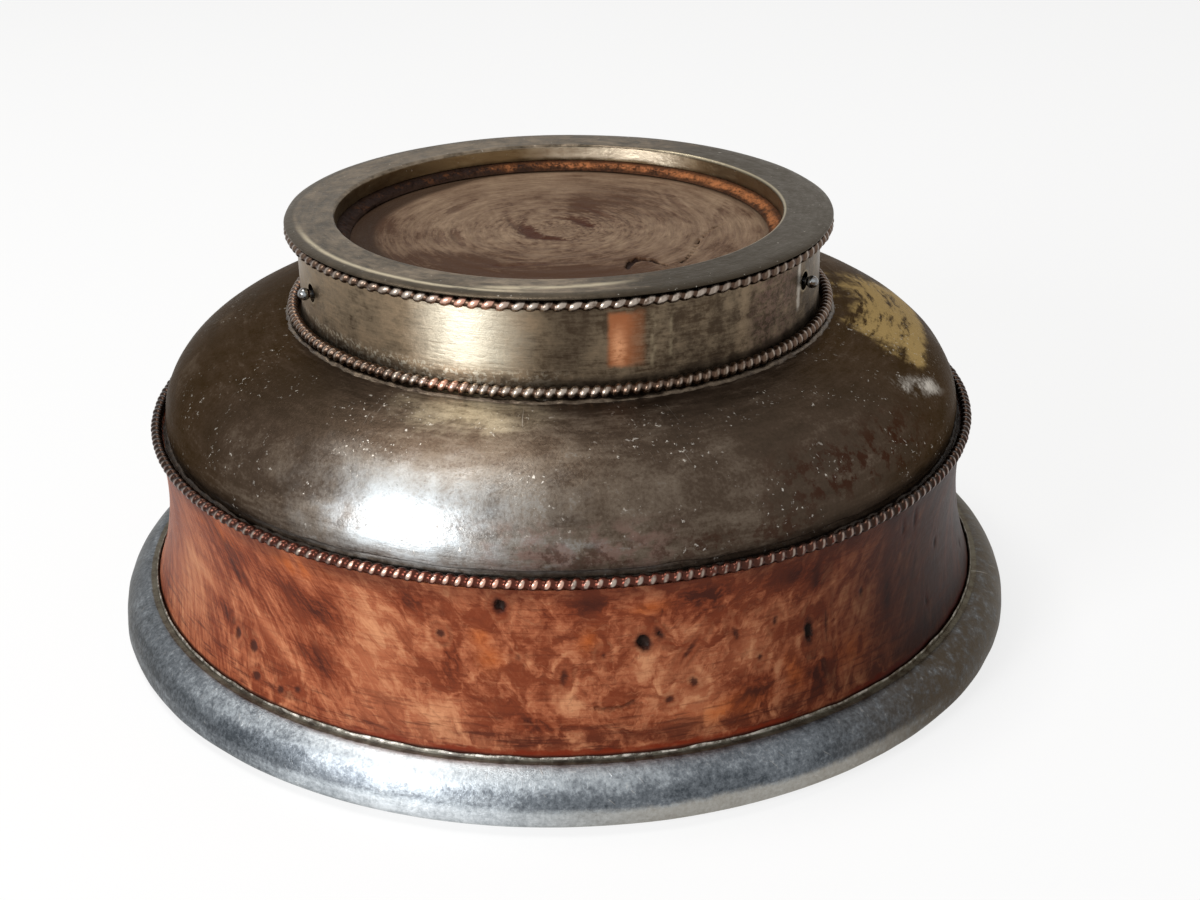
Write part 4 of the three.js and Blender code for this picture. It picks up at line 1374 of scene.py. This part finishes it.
def make_rope(name, node, bead_pitch, look, seed):
    """A closed ring of the CAD ring's own section, with a ridge that winds round it once for each
    bead."""
    low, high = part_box(node)
    half = (high.z - low.z) / 2
    ring = high.x - half
    level = (high.z + low.z) / 2
    beads = round(2 * math.pi * ring / bead_pitch)
    steps = beads * STEPS_PER_BEAD
    draw = np.random.default_rng(seed)
    waves = [(draw.uniform(0.4, 1), draw.uniform(0, 6.3), turn) for turn in (5, 9, 16, 27)]
    uneven = draw.uniform(0, 1, beads)
    step = np.arange(steps)[:, None]
    side = np.arange(STRAND_SIDES)[None]
    turn = 2 * np.pi * side / STRAND_SIDES + 0 * step
    around = 2 * np.pi * (step / steps + side / STRAND_SIDES / beads)
    jitter = sum(height * np.cos(number * around + start) for height, start, number in waves)
    around = around + PITCH_UNEVEN / beads * jitter
    across = ((step % STEPS_PER_BEAD + 0.5) / STEPS_PER_BEAD * 2 - 1) / BEAD_SHARE
    crest = np.sqrt(np.maximum(1 - across**2, 0)) + 0 * turn
    bulge = 1 - BEAD_UNEVEN * uneven[step // STEPS_PER_BEAD] * crest
    size = half * (1 - GROOVE_DEPTH * (1 - crest)) * bulge
    points = round_z(ring + size * np.cos(turn), level + size * np.sin(turn), around)
    closes = side == STRAND_SIDES - 1
    beside = np.where(closes, 0, side + 1)
    shift = np.where(closes, STEPS_PER_BEAD, 0)
    corners = [(step, side), (step + 1, side), (step + 1 + shift, beside), (step + shift, beside)]
    faces = np.stack([along % steps * STRAND_SIDES + turned for along, turned in corners], axis=-1)
    piece = mesh_object(name, points.reshape(-1, 3), faces.reshape(-1, 4).tolist(), 80)
    add_values(piece, face=crest * (np.cos(turn) + 0.35 * np.sin(turn)), crest=crest)
    place(piece, look, "wire_silver", node)


def make_fillet(name, slot, ring, level, width, rise, look, seed, lean, patchy):
    """A lumpy bead of solder or soot lying in the corner between two mounts."""
    profile = outline(
        (ring - width, level), (ring + width, level),
        arc((ring, level), (width, rise), 20, 160, 8))

    def relief(radius, height, bearing):
        lumps = crumb(radius, height, bearing, 1.3 * MM, seed)
        slow = swell(bearing, height * 0, seed, (2, 5, 9, 15, 24), MM)
        size = np.clip(0.75 + patchy * slow + 0.4 * lumps, 0.15, 1.3)
        up = height - level
        return ring + (radius - ring) * size + lean * up, level + up * size

    piece = turned(name, profile, 720, relief, smooth_angle=70)
    place(piece, look, slot)


def make_pin(node, look):
    """A round-headed pin: its ball stands proud and its shank goes in through the collar."""
    bearing, level = pin_place(node)
    outward = outward_from(bearing)
    centre = COLLAR_RADIUS + 0.2 * MM + PIN_BALL_RADIUS
    shank = centre - (WOOD_FOOT - 5 * MM)
    neck = -math.degrees(math.acos(PIN_SHANK_RADIUS / PIN_BALL_RADIUS))
    profile = outline(
        (0, -shank), (PIN_SHANK_RADIUS, -shank),
        arc((0, 0), (PIN_BALL_RADIUS, PIN_BALL_RADIUS), neck, 90, 22))
    profile[-1] = (0, PIN_BALL_RADIUS * 0.96)
    piece = turned(node + "_ball", profile, 32)
    upright = Vector((0, 0, 1)).rotation_difference(outward).to_matrix().to_4x4()
    piece.data.transform(Matrix.Translation(outward * centre + Vector((0, 0, level))) @ upright)
    place(piece, look, "pin_silver", node)


# Camera, floor and lights
CAMERA_PLACE = Vector((5.39, -234.86, 129.74)) * MM
CAMERA_ELEVATION = math.radians(24.96)
CAMERA_ROLL = math.radians(-0.5)
LENS = 52.317
SENSOR = 36
CLIP_RANGE = (0.01, 20)
LAMP_TARGET = Vector((0, 0, 30 * MM))
WORLD_WHITE = (1, 1, 1, 1)
WORLD_LIGHT = 0.26
FLOOR_WHITE = (0.92, 0.92, 0.92, 1)
FLOOR_SIZE = 8
FLOOR_LEVEL = -0.02 * MM
FLOOR_GLOW = 0.8


def add_camera():
    data = bpy.data.cameras.new("camera")
    data.lens = LENS
    data.sensor_width = SENSOR
    data.clip_start, data.clip_end = CLIP_RANGE
    camera = link("camera", data)
    upright = Matrix.Rotation(math.pi / 2 - CAMERA_ELEVATION, 3, "X")
    camera.matrix_world = Matrix.Translation(CAMERA_PLACE) @ (
        upright @ Matrix.Rotation(CAMERA_ROLL, 3, "Z")).to_4x4()
    bpy.context.scene.camera = camera


def add_world():
    world = bpy.data.worlds.new("studio")
    world.use_nodes = True
    graph = Graph(world.node_tree)
    background = graph.tree.nodes["Background"]
    background.inputs["Color"].default_value = WORLD_WHITE
    strength = graph.background_share() * (1 - WORLD_LIGHT) + WORLD_LIGHT
    graph.feed(background.inputs["Strength"], strength)
    bpy.context.scene.world = world


def add_floor():
    half = FLOOR_SIZE / 2
    mesh = bpy.data.meshes.new("floor")
    corners = [(-half, -half), (half, -half), (half, half), (-half, half)]
    mesh.from_pydata([(x, y, FLOOR_LEVEL) for x, y in corners], [], [(0, 1, 2, 3)])
    floor = link("floor", mesh)
    material = bpy.data.materials.new("pale_floor")
    material.use_nodes = True
    graph = Graph(material.node_tree)
    graph.tree.nodes.clear()
    paint = graph.node("BsdfDiffuse", {"Color": FLOOR_WHITE}).outputs[0]
    glow = graph.node("Emission", {}).outputs[0]
    both = graph.node("MixShader", {
        0: graph.background_share() * FLOOR_GLOW, 1: Value(graph, paint), 2: Value(graph, glow)})
    graph.node("OutputMaterial", {"Surface": Value(graph, both.outputs[0])})
    mesh.materials.append(material)


def add_softbox(name, direction, distance, width, height, power, colour):
    """A soft lamp that faces the bowl's middle."""
    data = bpy.data.lights.new(name, "AREA")
    data.shape = "RECTANGLE"
    data.size, data.size_y = width, height
    data.energy = power
    data.color = colour
    lamp = link(name, data)
    toward = Vector(direction).normalized()
    lamp.location = LAMP_TARGET + toward * distance
    lamp.rotation_mode = "QUATERNION"
    lamp.rotation_quaternion = (-toward).to_track_quat("-Z", "Y")


add_camera()
add_world()
add_floor()
add_softbox(
    "window", direction=(-0.63, -0.71, 0.31), distance=0.7, width=0.2, height=0.28, power=4.1,
    colour=(0.97, 0.98, 1.0))
add_softbox(
    "ceiling", direction=(-0.30, 0.10, 0.95), distance=0.8, width=0.3, height=0.3, power=3.4,
    colour=(1.0, 0.98, 0.94))

make_wood()
make_liner()
make_rim()
make_shell()
make_collar()
make_flange()
make_lac()
make_rope(
    "calyx_twisted_wire", "calyx_rope_wire", 1.51 * MM,
    wire_material(
        "border_wire", shine=(-30, 12), pink=(-26, 4), exposed=0.95, body=BORDER_BODY,
        gap=BORDER_GAP, far_gap=WIRE_SOOT_AND_SHADE), seed=81)
make_rope(
    "foot_lower_twisted_wire", "foot_lower_rope_wire", 1.36 * MM,
    wire_material(
        "lower_foot_wire", shine=(-30, 10), pink=(-25, -17), exposed=0.3, body=WIRE_DARK,
        gap=WIRE_GAP, far_gap=WIRE_RED), seed=82)
make_rope(
    "foot_upper_twisted_wire", "foot_upper_rope_wire", 1.77 * MM,
    wire_material(
        "upper_foot_wire", shine=(-36, 32), pink=(-22, -10), exposed=0.3, body=WIRE_DARK,
        gap=WIRE_GAP, far_gap=WIRE_RED), seed=83)
make_fillet(
    "border_soot_fillet", "calyx_silver", ring=SHELL_RADIUS + 0.15 * MM,
    level=SHELL_BASE - 0.05 * MM, width=0.5 * MM, rise=1.0 * MM, look=soot_material(), seed=91,
    lean=-0.25, patchy=0.15)
make_fillet(
    "foot_solder_fillet", "collar_silver", ring=COLLAR_RADIUS + 1.85 * MM,
    level=CROWN - 0.25 * MM, width=0.62 * MM, rise=0.62 * MM, look=solder_material(), seed=92,
    lean=0.0, patchy=0.12)
pin_look = pin_material()
for pin_node in PINS:
    make_pin(pin_node, pin_look)

bpy.context.scene.view_settings.view_transform = "Standard"
